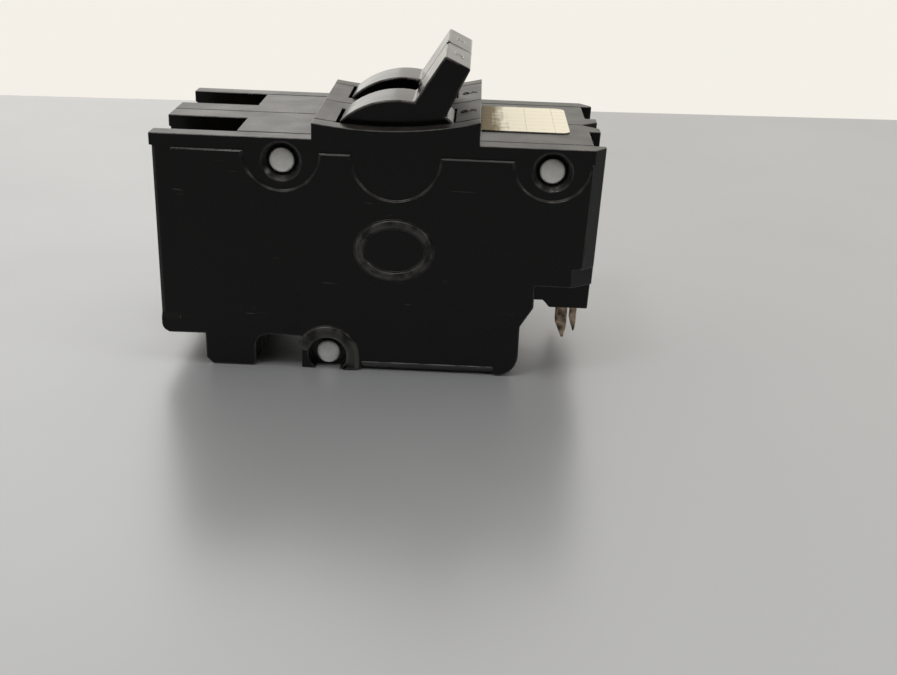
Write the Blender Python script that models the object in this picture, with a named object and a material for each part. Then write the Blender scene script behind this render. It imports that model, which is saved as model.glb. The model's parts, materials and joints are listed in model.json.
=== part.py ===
"""Two-pole plug-in circuit breaker, one object for each piece, in metres with +Z up.

X runs along the case, with the wire terminals at -X and the plug-in stabs at +X. Y runs across the
two poles. Z is up from the feet, and the handle stands on top. The far pole at +Y mirrors the near
pole at -Y, so a piece is placed by its depth, the distance from the plane between the poles, and by
a side of -1 or +1.
"""
import math

import bmesh
import bpy
from mathutils import Matrix, Vector

# Case: overall sizes
CASE_LENGTH = 0.0990
POLE_WIDTH = 0.0254
CASE_TOP = 0.05385
COVER_DEPTH = 0.0059
SEAM_GAP = 0.0003
FIT_GAP = 0.0003
CUT_MARGIN = 0.001

# Case: side outline
LIP_HEIGHT = 0.00275
LIP_REACH = 0.0011
UNDERSIDE = 0.0075
HEEL_RADIUS = 0.0020
FOOT_INSET = 0.01025
FOOT_LENGTH = 0.01165
FOOT_CHAMFER = 0.0015
RAIL_NOTCH_LENGTH = 0.0106
RAIL_NOTCH_HEIGHT = 0.0079
RAIL_NOTCH_RADIUS = 0.0030
LOWER_END_INSET = 0.0165
LOWER_END_HEIGHT = 0.0125
BOTTOM_FILLET = 0.0050
ARCH_INSET = 0.0125
ARCH_TOP = 0.0172
ARCH_HALF_WIDTH = 0.0012
HOUSING_LENGTH = 0.0098
HOUSING_BOTTOM = 0.0155
END_TAPER = 0.0010

# Case: collar round the handle
COLLAR_LEFT_REACH = 0.0183
COLLAR_RIGHT_REACH = 0.0180
COLLAR_LEFT_RISE = 0.00355
COLLAR_RIGHT_RISE = 0.00505
COLLAR_MIDDLE_RISE = 0.00245

# Cover relief, as drops from the outermost crest
PANEL_DROP = 0.0006
BAND_DROP = 0.0008
COUNTERBORE_DROP = 0.0019
BAND_HEIGHT = 0.00315
RIVET_SCALLOP_RADIUS = 0.0084
HANDLE_SCALLOP_RADIUS = 0.0098
STRIP_WIDTH = 0.0040
STRIP_BOTTOM = 0.0110
OVAL_HALF_LENGTH = 0.0087
OVAL_HALF_HEIGHT = 0.0070
OVAL_RIM = 0.0018
OVAL_HEIGHT = 0.02975
PANEL_FLOOR = 0.0225
END_CHAMFER_LENGTH = 0.0033
END_CHAMFER_DEPTH = 0.0038
LOW_CHAMFER_LENGTH = 0.0057
LOW_CHAMFER_TOP = 0.0268
BOTTOM_CHAMFER_HEIGHT = 0.00225
BOTTOM_CHAMFER_DEPTH = 0.0011
BOTTOM_CHAMFER_START = 0.0006
BOTTOM_CHAMFER_END = 0.0005

# Through rivets
RIVET_RADIUS = 0.0018
RIVET_HEAD_RADIUS = 0.0028
RIVET_HEAD_HEIGHT = 0.0009
RIVET_DOME = 0.0004
RIVET_CROWN_RADIUS = 0.0019
COUNTERBORE_RADIUS = 0.0048
TOP_RIVET_DROP = 0.0052
LEFT_RIVET_OFFSET = 0.0060
RIGHT_RIVET_INSET = 0.0115
FOOT_RIVET_OFFSET = 0.0060
FOOT_RIVET_HEIGHT = 0.0035
FOOT_RING_RADIUS = 0.0072
FOOT_RING_WIDTH = 0.0028
FOOT_RING_END = math.radians(168)

# Handle
HANDLE_X = 0.0040
PIVOT_DEPTH = 0.01035
DRUM_RADIUS = 0.0185
DRUM_WEB = 0.00605
DRUM_SIDE_GAP = 0.00015
DRUM_GAP = 0.0004
DRUM_START = math.radians(-44)
DRUM_END = math.radians(96)
HUB_RADIUS = 0.0045
TRUNNION_RADIUS = 0.0025
TRUNNION_LENGTH = 0.0022
LEVER_RADIUS = 0.0299
LEVER_ROOT_START = math.radians(10)
LEVER_ROOT_END = math.radians(34.5)
LEVER_TIP_START = math.radians(19.2)
LEVER_TIP_END = math.radians(31)
LEVER_OVERLAP = 0.0005
TIE_RADIUS = 0.0012
TIE_DROP = 0.0054
TIE_INSET = 0.0075

# Terminal end
TERMINAL_LENGTH = 0.0182
TERMINAL_FLOOR = 0.0252
TERMINAL_SIDE_GAP = 0.0010
PARTITION = 0.0023
STRAP_THICKNESS = 0.0015
STRAP_WIDTH = 0.0080
STRAP_INSET = 0.0030
STRAP_FOOT = 0.0067
BRACKET_THICKNESS = 0.0018
BRACKET_WIDTH = 0.0100
BRACKET_TOP_DROP = 0.0135
BRACKET_REACH = 0.0144
SCREW_INSET = 0.0095
SCREW_RADIUS = 0.0024
SCREW_HEAD_RADIUS = 0.0043
SCREW_HEAD_HEIGHT = 0.0030
SCREW_TRAVEL = 0.0035
SCREW_SLOT_WIDTH = 0.0010
SCREW_SLOT_DEPTH = 0.0012
WIRE_SPACE = 0.0053
PRESSURE_PLATE_LENGTH = 0.0100
PRESSURE_PLATE_WIDTH = 0.0090
PRESSURE_PLATE_THICKNESS = 0.0017

# Mechanism chamber
WEB = 0.0030
COVER_WALL = 0.0020
PIT_WALL = 0.0038
LEDGE_HEIGHT = 0.0050
FLOOR_HEIGHT = 0.0100
LOW_FLOOR_HEIGHT = 0.0030
LOW_FLOOR_OFFSET = 0.0090
LOW_CORNER = 0.0032
LOWER_END_WALL = 0.0028
END_WALL = 0.0025
RIGHT_FLOOR_RISE = 0.0015
MIDDLE_CEILING_DROP = 0.0055
CEILING_STEP = 0.0130
BAR_HEADROOM = 0.0014

# Trip parts
BIMETAL_THICKNESS = 0.0012
BIMETAL_WIDTH = 0.0070
BIMETAL_HEIGHT = 0.0222
YOKE_THICKNESS = 0.0012
YOKE_HEIGHT = 0.0110
YOKE_LIFT = 0.0062
YOKE_GAP = 0.0004
BAR_RADIUS = 0.0016
BAR_RISE = 0.0030
BAR_OVERHANG = 0.0043
FLAG_CLEARANCE = 0.0021
FLAG_THICKNESS = 0.0012
FLAG_LENGTH = 0.0100
FLAG_WIDTH = 0.0035
FLAG_OFFSET = 0.0032
ARMATURE_GAP = 0.0015
ARMATURE_THICKNESS = 0.0012
ARMATURE_HEIGHT = 0.0160
ARMATURE_INNER = 0.0060
ARMATURE_WIDTH = 0.0114
CRADLE_PIVOT_OFFSET = 0.0100
CRADLE_PIVOT_DROP = 0.0180
CRADLE_TIP_DROP = 0.0035
CRADLE_HUB_RADIUS = 0.0028
CRADLE_TIP_HEIGHT = 0.0030
CRADLE_INNER = 0.0064
CRADLE_THICKNESS = 0.0016
SPRING_COIL_RADIUS = 0.0010
SPRING_WIRE_RADIUS = 0.0003
SPRING_TURNS = 7
SPRING_ARM_OFFSET = 0.0075
SPRING_CRADLE_OFFSET = 0.0140
BRAID_RADIUS = 0.0009
BRAID_SAG = 0.0036

# Contacts
ARM_PIVOT_DROP = 0.0085
ARM_HUB_RADIUS = 0.0030
ARM_ROOT_HALF_HEIGHT = 0.0022
ARM_TIP_HEIGHT = 0.0040
ARM_TIP_REACH = 0.0025
ARM_THICKNESS = 0.0030
PIN_RADIUS = 0.0014
PIN_SEAT = 0.0020
PIN_REACH = 0.0015
CONTACT_INSET = 0.0150
CONTACT_RADIUS = 0.0025
CONTACT_HEIGHT = 0.0012
LINE_STRAP_THICKNESS = 0.0016
LINE_STRAP_WIDTH = 0.0080
STAB_THICKNESS = 0.0024
STAB_INSET = 0.0028
PRONG_WIDTHS = (0.0027, 0.0016)
PRONG_TIPS = (0.0059, 0.0076)
PRONG_TAPERS = (0.0038, 0.0030)
PRONG_GAP = 0.0006
PRONG_POINT_START = 0.6
PRONG_POINT_END = 0.8
PRONG_BACK_TAPER = 0.7
CHUTE_CLEARANCE = 0.0012
CHUTE_BACK = 0.0012
CHUTE_WIDTH = 0.0114
CHUTE_PLATES = 4
CHUTE_PLATE_THICKNESS = 0.0010
CHUTE_PITCH = 0.0033

# Top right end
VENT_LENGTH = 0.0026
VENT_DEPTH = 0.0070
VENT_INNER = 0.0067
SEAM_NOTCH_LENGTH = 0.0037
SEAM_NOTCH_HALF_WIDTH = 0.0020
LABEL_INSET = 0.0072
LABEL_NEAR = 0.0100
LABEL_FAR = 0.0150
LABEL_CORNER = 0.0020
LABEL_THICKNESS = 0.0002
LABEL_GAP = 0.0001

# Facets
LARGE_ROUND_SIDES = 56
ROUND_SIDES = 28
SMALL_ROUND_SIDES = 16
ARC_STEPS = 14
SPRING_STEPS = 9
SHARP_ANGLE = math.radians(34)

SIDES = {"near": -1, "far": 1}

# Places worked out from the sizes above
X_LEFT = -CASE_LENGTH / 2
X_RIGHT = CASE_LENGTH / 2
COLLAR_LEFT = HANDLE_X - COLLAR_LEFT_REACH
COLLAR_RIGHT = HANDLE_X + COLLAR_RIGHT_REACH
POLE_CENTRE = POLE_WIDTH / 2
BASE_INNER = SEAM_GAP / 2
BASE_OUTER = POLE_WIDTH - COVER_DEPTH - SEAM_GAP / 2
COVER_INNER = BASE_OUTER + SEAM_GAP
PANEL = POLE_WIDTH - PANEL_DROP
BAND = PANEL - BAND_DROP
COUNTERBORE = BAND - COUNTERBORE_DROP
CHAMBER_INNER = BASE_INNER + WEB
PIVOT = (HANDLE_X, CASE_TOP - PIVOT_DEPTH)
DRUM_INNER = BASE_INNER + DRUM_WEB
DRUM_OUTER = BASE_OUTER - DRUM_SIDE_GAP
TIE_END = DRUM_OUTER - TIE_INSET
RAIL_NOTCH_LEFT = X_LEFT + FOOT_INSET + FOOT_LENGTH
RAIL_NOTCH_RIGHT = RAIL_NOTCH_LEFT + RAIL_NOTCH_LENGTH
LOWER_END = X_RIGHT - LOWER_END_INSET
RIVETS = {
    "left": (HANDLE_X - DRUM_RADIUS - DRUM_GAP - LEFT_RIVET_OFFSET, CASE_TOP - TOP_RIVET_DROP),
    "right": (X_RIGHT - RIGHT_RIVET_INSET, CASE_TOP - TOP_RIVET_DROP),
    "foot": (RAIL_NOTCH_RIGHT + FOOT_RIVET_OFFSET, FOOT_RIVET_HEIGHT),
}

TERMINAL_END = X_LEFT + TERMINAL_LENGTH
TERMINAL_INNER = POLE_CENTRE - BRACKET_WIDTH / 2 - TERMINAL_SIDE_GAP
CHAMBER_LEFT = TERMINAL_END + PARTITION
CHAMBER_RIGHT = X_RIGHT - END_WALL
CHAMBER_STEP = LOWER_END - LOWER_END_WALL
PIT_FLOOR = RAIL_NOTCH_HEIGHT + PIT_WALL
LEDGE = PIT_FLOOR + LEDGE_HEIGHT
RIGHT_FLOOR = PANEL_FLOOR + RIGHT_FLOOR_RISE
MIDDLE_CEILING = PIVOT[1] - MIDDLE_CEILING_DROP

STRAP_BOTTOM = TERMINAL_FLOOR + FIT_GAP
STRAP_TOP = STRAP_BOTTOM + STRAP_THICKNESS
STRAP_DROP_LEFT = CHAMBER_LEFT + FIT_GAP
STRAP_FOOT_TOP = PIT_FLOOR + FIT_GAP + STRAP_THICKNESS
YOKE_BACK = STRAP_DROP_LEFT + STRAP_THICKNESS + FIT_GAP
BIMETAL_LEFT = YOKE_BACK + YOKE_THICKNESS + FIT_GAP
BIMETAL_RIGHT = BIMETAL_LEFT + BIMETAL_THICKNESS
BIMETAL_BOTTOM = STRAP_FOOT_TOP + FIT_GAP
BIMETAL_TOP = BIMETAL_BOTTOM + BIMETAL_HEIGHT
FLAG_LEFT = BIMETAL_RIGHT + FLAG_CLEARANCE
BAR = (FLAG_LEFT + FLAG_THICKNESS / 2, BIMETAL_TOP + BAR_RISE)
BAR_END = POLE_CENTRE + BAR_OVERHANG
LEFT_CEILING = BAR[1] + BAR_RADIUS + BAR_HEADROOM
ARMATURE_LEFT = FLAG_LEFT + FLAG_THICKNESS + ARMATURE_GAP
ARMATURE_RIGHT = ARMATURE_LEFT + ARMATURE_THICKNESS
ARMATURE_BOTTOM = LEDGE + FIT_GAP
ARMATURE_TOP = ARMATURE_BOTTOM + ARMATURE_HEIGHT
ARMATURE_HINGE = ((ARMATURE_LEFT + ARMATURE_RIGHT) / 2, ARMATURE_BOTTOM + FIT_GAP)
LEDGE_RIGHT = ARMATURE_RIGHT + PARTITION

LINE_STRAP_BOTTOM = RIGHT_FLOOR + FIT_GAP
LINE_STRAP_TOP = LINE_STRAP_BOTTOM + LINE_STRAP_THICKNESS
FIXED_CONTACT_BOTTOM = LINE_STRAP_TOP + FIT_GAP
MOVING_CONTACT_BOTTOM = FIXED_CONTACT_BOTTOM + CONTACT_HEIGHT + FIT_GAP
ARM_UNDERSIDE = MOVING_CONTACT_BOTTOM + CONTACT_HEIGHT + FIT_GAP
CONTACT_X = X_RIGHT - CONTACT_INSET
ARM_TIP = CONTACT_X + ARM_TIP_REACH
ARM_PIVOT = (HANDLE_X, PIVOT[1] - ARM_PIVOT_DROP)
CRADLE_PIVOT = (HANDLE_X + CRADLE_PIVOT_OFFSET, ARM_PIVOT[1] - CRADLE_PIVOT_DROP)
CRADLE_TIP = (ARMATURE_RIGHT + FIT_GAP, ARMATURE_TOP - CRADLE_TIP_DROP)

SCREW_X = X_LEFT + SCREW_INSET
BRACKET_TOP = CASE_TOP - BRACKET_TOP_DROP
PRESSURE_PLATE_BOTTOM = STRAP_TOP + WIRE_SPACE
SCREW_TIP = PRESSURE_PLATE_BOTTOM + PRESSURE_PLATE_THICKNESS + FIT_GAP
SCREW_HEAD_BOTTOM = BRACKET_TOP + SCREW_TRAVEL + FIT_GAP


# Outlines
def arc(centre, radius, start, end, steps):
    """Points on an arc in the XZ plane, with angles from +X towards +Z."""
    angles = [start + (end - start) * i / steps for i in range(steps + 1)]
    return [(centre[0] + radius * math.cos(a), centre[1] + radius * math.sin(a)) for a in angles]


def circle(centre, radius, sides):
    return arc(centre, radius, 0, 2 * math.pi, sides)[:-1]


def oval(centre, half_length, half_height, sides):
    angles = [2 * math.pi * i / sides for i in range(sides)]
    return [(centre[0] + half_length * math.cos(a), centre[1] + half_height * math.sin(a)) for a in angles]


def rectangle(left, right, bottom, top):
    return [(left, bottom), (right, bottom), (right, top), (left, top)]


def polar(centre, radius, angle):
    """A point at an angle measured from straight up, clockwise as seen from the near side."""
    return centre[0] + radius * math.sin(angle), centre[1] + radius * math.cos(angle)


def collar_scoop():
    """The hollow top of the collar, a smooth curve through its three heights, left to right."""
    middle = COLLAR_MIDDLE_RISE
    left_slope = (COLLAR_LEFT_RISE - middle) / COLLAR_LEFT_REACH
    right_slope = (COLLAR_RIGHT_RISE - middle) / COLLAR_RIGHT_REACH
    bend = (left_slope + right_slope) / (COLLAR_LEFT_REACH + COLLAR_RIGHT_REACH)
    slope = right_slope - bend * COLLAR_RIGHT_REACH
    points = []
    for i in range(ARC_STEPS + 1):
        along = -COLLAR_LEFT_REACH + (COLLAR_LEFT_REACH + COLLAR_RIGHT_REACH) * i / ARC_STEPS
        rise = middle + slope * along + bend * along * along
        points.append((HANDLE_X + along, CASE_TOP + rise))
    return points


def case_outline():
    """The case seen from the near side, clockwise from the lip above the terminals."""
    body_left = X_LEFT + LIP_REACH
    foot_left = X_LEFT + FOOT_INSET
    arch_x = X_RIGHT - ARCH_INSET
    quarter = math.pi / 2
    points = [(X_LEFT, CASE_TOP), (COLLAR_LEFT, CASE_TOP)]
    points += collar_scoop()
    points += [(COLLAR_RIGHT, CASE_TOP), (X_RIGHT, CASE_TOP), (X_RIGHT - END_TAPER, HOUSING_BOTTOM)]
    points += [(X_RIGHT - HOUSING_LENGTH, HOUSING_BOTTOM)]
    points += [(arch_x + ARCH_HALF_WIDTH, ARCH_TOP), (arch_x - ARCH_HALF_WIDTH, ARCH_TOP)]
    points += [(LOWER_END, LOWER_END_HEIGHT)]
    points += arc((LOWER_END - BOTTOM_FILLET, BOTTOM_FILLET), BOTTOM_FILLET, 0, -quarter, ARC_STEPS // 2)
    points += [(RAIL_NOTCH_RIGHT, 0), (RAIL_NOTCH_RIGHT, RAIL_NOTCH_HEIGHT)]
    notch_corner = (RAIL_NOTCH_LEFT + RAIL_NOTCH_RADIUS, RAIL_NOTCH_HEIGHT - RAIL_NOTCH_RADIUS)
    points += arc(notch_corner, RAIL_NOTCH_RADIUS, quarter, 2 * quarter, ARC_STEPS // 2)
    points += [(RAIL_NOTCH_LEFT, FOOT_CHAMFER / 2), (RAIL_NOTCH_LEFT - FOOT_CHAMFER / 2, 0)]
    points += [(foot_left + FOOT_CHAMFER, 0), (foot_left, FOOT_CHAMFER), (foot_left, UNDERSIDE)]
    heel = (body_left + HEEL_RADIUS, UNDERSIDE + HEEL_RADIUS)
    points += arc(heel, HEEL_RADIUS, -quarter, -2 * quarter, ARC_STEPS // 3)
    points += [(body_left, CASE_TOP - LIP_HEIGHT), (X_LEFT, CASE_TOP - LIP_HEIGHT)]
    return points


def chamber_outline(right_floor):
    """The space for the mechanism, counter-clockwise from the pit under the bimetal."""
    low_left = RAIL_NOTCH_RIGHT + FOOT_RIVET_OFFSET + LOW_FLOOR_OFFSET
    right_ceiling = PIVOT[1]
    return [
        (CHAMBER_LEFT, PIT_FLOOR),
        (ARMATURE_LEFT - ARMATURE_GAP, PIT_FLOOR),
        (ARMATURE_LEFT - ARMATURE_GAP, LEDGE),
        (LEDGE_RIGHT, LEDGE),
        (LEDGE_RIGHT, FLOOR_HEIGHT),
        (low_left, FLOOR_HEIGHT),
        (low_left, LOW_FLOOR_HEIGHT),
        (CHAMBER_STEP - LOW_CORNER, LOW_FLOOR_HEIGHT),
        (CHAMBER_STEP, LOW_FLOOR_HEIGHT + LOW_CORNER),
        (CHAMBER_STEP, right_floor),
        (CHAMBER_RIGHT, right_floor),
        (CHAMBER_RIGHT, right_ceiling),
        (HANDLE_X + CEILING_STEP, right_ceiling),
        (HANDLE_X + CEILING_STEP, MIDDLE_CEILING),
        (LEDGE_RIGHT, MIDDLE_CEILING),
        (LEDGE_RIGHT, LEFT_CEILING),
        (CHAMBER_LEFT, LEFT_CEILING),
    ]


# Solids
def clear_scene():
    for item in list(bpy.data.objects):
        bpy.data.objects.remove(item)


def add_object(name, mesh):
    bmesh.ops.recalc_face_normals(mesh, faces=mesh.faces)
    data = bpy.data.meshes.new(name)
    mesh.to_mesh(data)
    mesh.free()
    item = bpy.data.objects.new(name, data)
    bpy.context.collection.objects.link(item)
    return item


def between(name, corners, shift):
    """The solid that a flat ring of corners sweeps along a shift."""
    mesh = bmesh.new()
    face = mesh.faces.new([mesh.verts.new(corner) for corner in corners])
    swept = bmesh.ops.extrude_face_region(mesh, geom=[face])
    moved = [part for part in swept["geom"] if isinstance(part, bmesh.types.BMVert)]
    bmesh.ops.translate(mesh, verts=moved, vec=shift)
    return add_object(name, mesh)


def plate(name, side, outline, inner, outer):
    """An XZ outline carried across Y, between two depths of one pole."""
    corners = [(x, side * inner, z) for x, z in outline]
    return between(name, corners, (0, side * (outer - inner), 0))


def column(name, outline, bottom, top):
    """An XY outline carried up Z."""
    return between(name, [(x, y, bottom) for x, y in outline], (0, 0, top - bottom))


def rod(name, side, centre, radius, inner, outer, sides=SMALL_ROUND_SIDES):
    return plate(name, side, circle(centre, radius, sides), inner, outer)


def disc(name, x, y, radius, bottom, top, sides=SMALL_ROUND_SIDES):
    return column(name, circle((x, y), radius, sides), bottom, top)


def turned(name, centre, profile, sides):
    """A solid of revolution about a line along Y, from (radius, y) pairs."""
    mesh = bmesh.new()
    rings = []
    for radius, y in profile:
        rings.append([mesh.verts.new((x, y, z)) for x, z in circle(centre, radius, sides)])
    for low, high in zip(rings, rings[1:]):
        for i in range(sides):
            after = (i + 1) % sides
            mesh.faces.new((low[i], low[after], high[after], high[i]))
    mesh.faces.new(rings[0])
    mesh.faces.new(rings[-1])
    return add_object(name, mesh)


def tube(name, points, radius, resolution):
    """A round wire along a list of points, with closed ends."""
    curve = bpy.data.curves.new(name, "CURVE")
    curve.dimensions = "3D"
    curve.bevel_depth = radius
    curve.bevel_resolution = resolution
    curve.use_fill_caps = True
    spline = curve.splines.new("POLY")
    spline.points.add(len(points) - 1)
    for target, point in zip(spline.points, points):
        target.co = (*point, 1)
    item = bpy.data.objects.new(name, curve)
    bpy.context.collection.objects.link(item)
    return item


def combine(target, tool, operation):
    """Cut or join one solid with another, which is then removed."""
    modifier = target.modifiers.new(operation.lower(), "BOOLEAN")
    modifier.operation = operation
    modifier.solver = "EXACT"
    modifier.object = tool
    graph = bpy.context.evaluated_depsgraph_get()
    result = bpy.data.meshes.new_from_object(target.evaluated_get(graph))
    target.modifiers.clear()
    target.data = result
    bpy.data.objects.remove(tool)


def cut(target, tool):
    combine(target, tool, "DIFFERENCE")


def join(target, tool):
    combine(target, tool, "UNION")


def set_origin(item, point):
    """Move an object's origin onto its joint's axis without moving its shape."""
    item.data.transform(Matrix.Translation(-Vector(point)))
    item.location = point


# Materials
def add_material(name, colour, roughness, metallic):
    material = bpy.data.materials.new(name)
    material.use_nodes = True
    shader = material.node_tree.nodes["Principled BSDF"]
    shader.inputs["Base Color"].default_value = (*colour, 1)
    shader.inputs["Roughness"].default_value = roughness
    shader.inputs["Metallic"].default_value = metallic
    return material


def make_materials():
    return {
        "case": add_material("phenolic_black", (0.010, 0.010, 0.011), 0.42, 0),
        "handle": add_material("handle_black", (0.012, 0.012, 0.012), 0.34, 0),
        "rivet": add_material("rivet_steel", (0.62, 0.62, 0.60), 0.38, 1),
        "copper": add_material("copper", (0.78, 0.42, 0.26), 0.34, 1),
        "silver": add_material("contact_silver", (0.85, 0.84, 0.80), 0.30, 1),
        "steel": add_material("plated_steel", (0.55, 0.56, 0.56), 0.36, 1),
        "bimetal": add_material("bimetal_strip", (0.58, 0.52, 0.44), 0.40, 1),
        "brass": add_material("brass", (0.72, 0.56, 0.28), 0.34, 1),
        "trip": add_material("trip_bar_fibre", (0.22, 0.09, 0.05), 0.60, 0),
        "label": add_material("label_paper", (0.74, 0.68, 0.52), 0.75, 0),
    }


def finish(item, material):
    item.data.materials.clear()
    item.data.materials.append(material)
    if item.type == "MESH":
        item.data.shade_smooth()
        item.data.set_sharp_from_angle(angle=SHARP_ANGLE)
    return item


# Case shells
def cut_rivet_holes(shell, side, inner, outer):
    for centre in RIVETS.values():
        hole_radius = RIVET_RADIUS + FIT_GAP
        cut(shell, rod("hole", side, centre, hole_radius, inner, outer))


def cut_trunnion_hole(shell, side, inner, outer):
    cut(shell, rod("hole", side, PIVOT, TRUNNION_RADIUS + FIT_GAP, inner, outer, ROUND_SIDES))


def make_base(name, side):
    """The deep half of one pole: chambers open towards its cover, with a web between the poles."""
    past_top = CASE_TOP + COLLAR_RIGHT_RISE + CUT_MARGIN
    past_outer = BASE_OUTER + CUT_MARGIN
    base = plate(name, side, case_outline(), BASE_INNER, BASE_OUTER)
    cut(base, rod("bar_hole", side, BAR, BAR_RADIUS + FIT_GAP, -CUT_MARGIN, past_outer))
    cut(base, plate("chamber", side, chamber_outline(RIGHT_FLOOR), CHAMBER_INNER, past_outer))
    drum_inner = DRUM_INNER - FIT_GAP
    drum_space = circle(PIVOT, DRUM_RADIUS + DRUM_GAP, LARGE_ROUND_SIDES)
    cut(base, plate("drum_space", side, drum_space, drum_inner, past_outer))
    terminal = rectangle(X_LEFT - CUT_MARGIN, TERMINAL_END, TERMINAL_FLOOR, past_top)
    cut(base, plate("terminal_space", side, terminal, TERMINAL_INNER, past_outer))
    strap_half = STRAP_WIDTH / 2 + FIT_GAP
    way_left = TERMINAL_END - CUT_MARGIN
    way_right = CHAMBER_LEFT + CUT_MARGIN
    strap_way = rectangle(way_left, way_right, TERMINAL_FLOOR, STRAP_TOP + FIT_GAP)
    cut(base, plate("strap_way", side, strap_way, POLE_CENTRE - strap_half, POLE_CENTRE + strap_half))
    stab_half = STAB_THICKNESS / 2 + FIT_GAP
    stab_left, stab_right = stab_span()
    stab_way = rectangle(stab_left - FIT_GAP, stab_right + FIT_GAP, 0, RIGHT_FLOOR + CUT_MARGIN)
    cut(base, plate("stab_way", side, stab_way, POLE_CENTRE - stab_half, POLE_CENTRE + stab_half))
    vent = rectangle(X_RIGHT - VENT_LENGTH, X_RIGHT + CUT_MARGIN, CASE_TOP - VENT_DEPTH, past_top)
    cut(base, plate("vent", side, vent, VENT_INNER, past_outer))
    notch_start = X_RIGHT - SEAM_NOTCH_LENGTH
    notch_end = X_RIGHT + CUT_MARGIN
    flare = SEAM_NOTCH_HALF_WIDTH * (notch_end - notch_start) / SEAM_NOTCH_LENGTH
    notch = [(notch_start, BASE_INNER), (notch_end, BASE_INNER + flare)]
    notch += [(notch_end, -CUT_MARGIN), (notch_start, -CUT_MARGIN)]
    cut(base, column("seam_notch", [(x, side * depth) for x, depth in notch], 0, past_top))
    pin_floor = CHAMBER_INNER - PIN_SEAT
    for centre in (ARM_PIVOT, CRADLE_PIVOT):
        cut(base, rod("pin_seat", side, centre, PIN_RADIUS + FIT_GAP, pin_floor, past_outer))
    cut_trunnion_hole(base, side, DRUM_INNER - TRUNNION_LENGTH - FIT_GAP, past_outer)
    cut_rivet_holes(base, side, -CUT_MARGIN, past_outer)
    return base


def foot_ring():
    """The hook-shaped ridge over the foot rivet, with one leg down, before its counterbore is cut."""
    centre = RIVETS["foot"]
    inner_radius = FOOT_RING_RADIUS - FOOT_RING_WIDTH - CUT_MARGIN
    points = [(centre[0] + FOOT_RING_RADIUS, 0)]
    points += arc(centre, FOOT_RING_RADIUS, 0, FOOT_RING_END, ARC_STEPS)
    points += arc(centre, inner_radius, FOOT_RING_END, 0, ARC_STEPS)
    points += [(centre[0] + inner_radius, 0)]
    return points


def cut_end_chamfers(cover, side):
    """Slanted corners at the stab end, longer below the panel's lower step."""
    spans = [
        (END_CHAMFER_LENGTH, HOUSING_BOTTOM - CUT_MARGIN, CASE_TOP + CUT_MARGIN),
        (LOW_CHAMFER_LENGTH, HOUSING_BOTTOM - CUT_MARGIN, LOW_CHAMFER_TOP),
    ]
    for length, bottom, top in spans:
        slope = END_CHAMFER_DEPTH / length
        past = POLE_WIDTH + CUT_MARGIN
        start = X_RIGHT - length - (past - PANEL) / slope
        end_depth = PANEL - END_CHAMFER_DEPTH - CUT_MARGIN * slope
        outline = [(start, past), (X_RIGHT + CUT_MARGIN, past), (X_RIGHT + CUT_MARGIN, end_depth)]
        cut(cover, column("chamfer", [(x, side * depth) for x, depth in outline], bottom, top))


def cut_bottom_chamfer(cover, side):
    """A slanted lower edge from past the foot ring to just before the rounded corner."""
    start = RIVETS["foot"][0] + FOOT_RING_RADIUS + BOTTOM_CHAMFER_START
    end = LOWER_END - BOTTOM_FILLET - BOTTOM_CHAMFER_END
    slope = BOTTOM_CHAMFER_HEIGHT / BOTTOM_CHAMFER_DEPTH
    past = PANEL + CUT_MARGIN
    section = [(PANEL - BOTTOM_CHAMFER_DEPTH - CUT_MARGIN / slope, -CUT_MARGIN)]
    section += [(past, BOTTOM_CHAMFER_HEIGHT + CUT_MARGIN * slope), (past, -CUT_MARGIN)]
    corners = [(start, side * depth, z) for depth, z in section]
    cut(cover, between("chamfer", corners, (end - start, 0, 0)))


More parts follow.
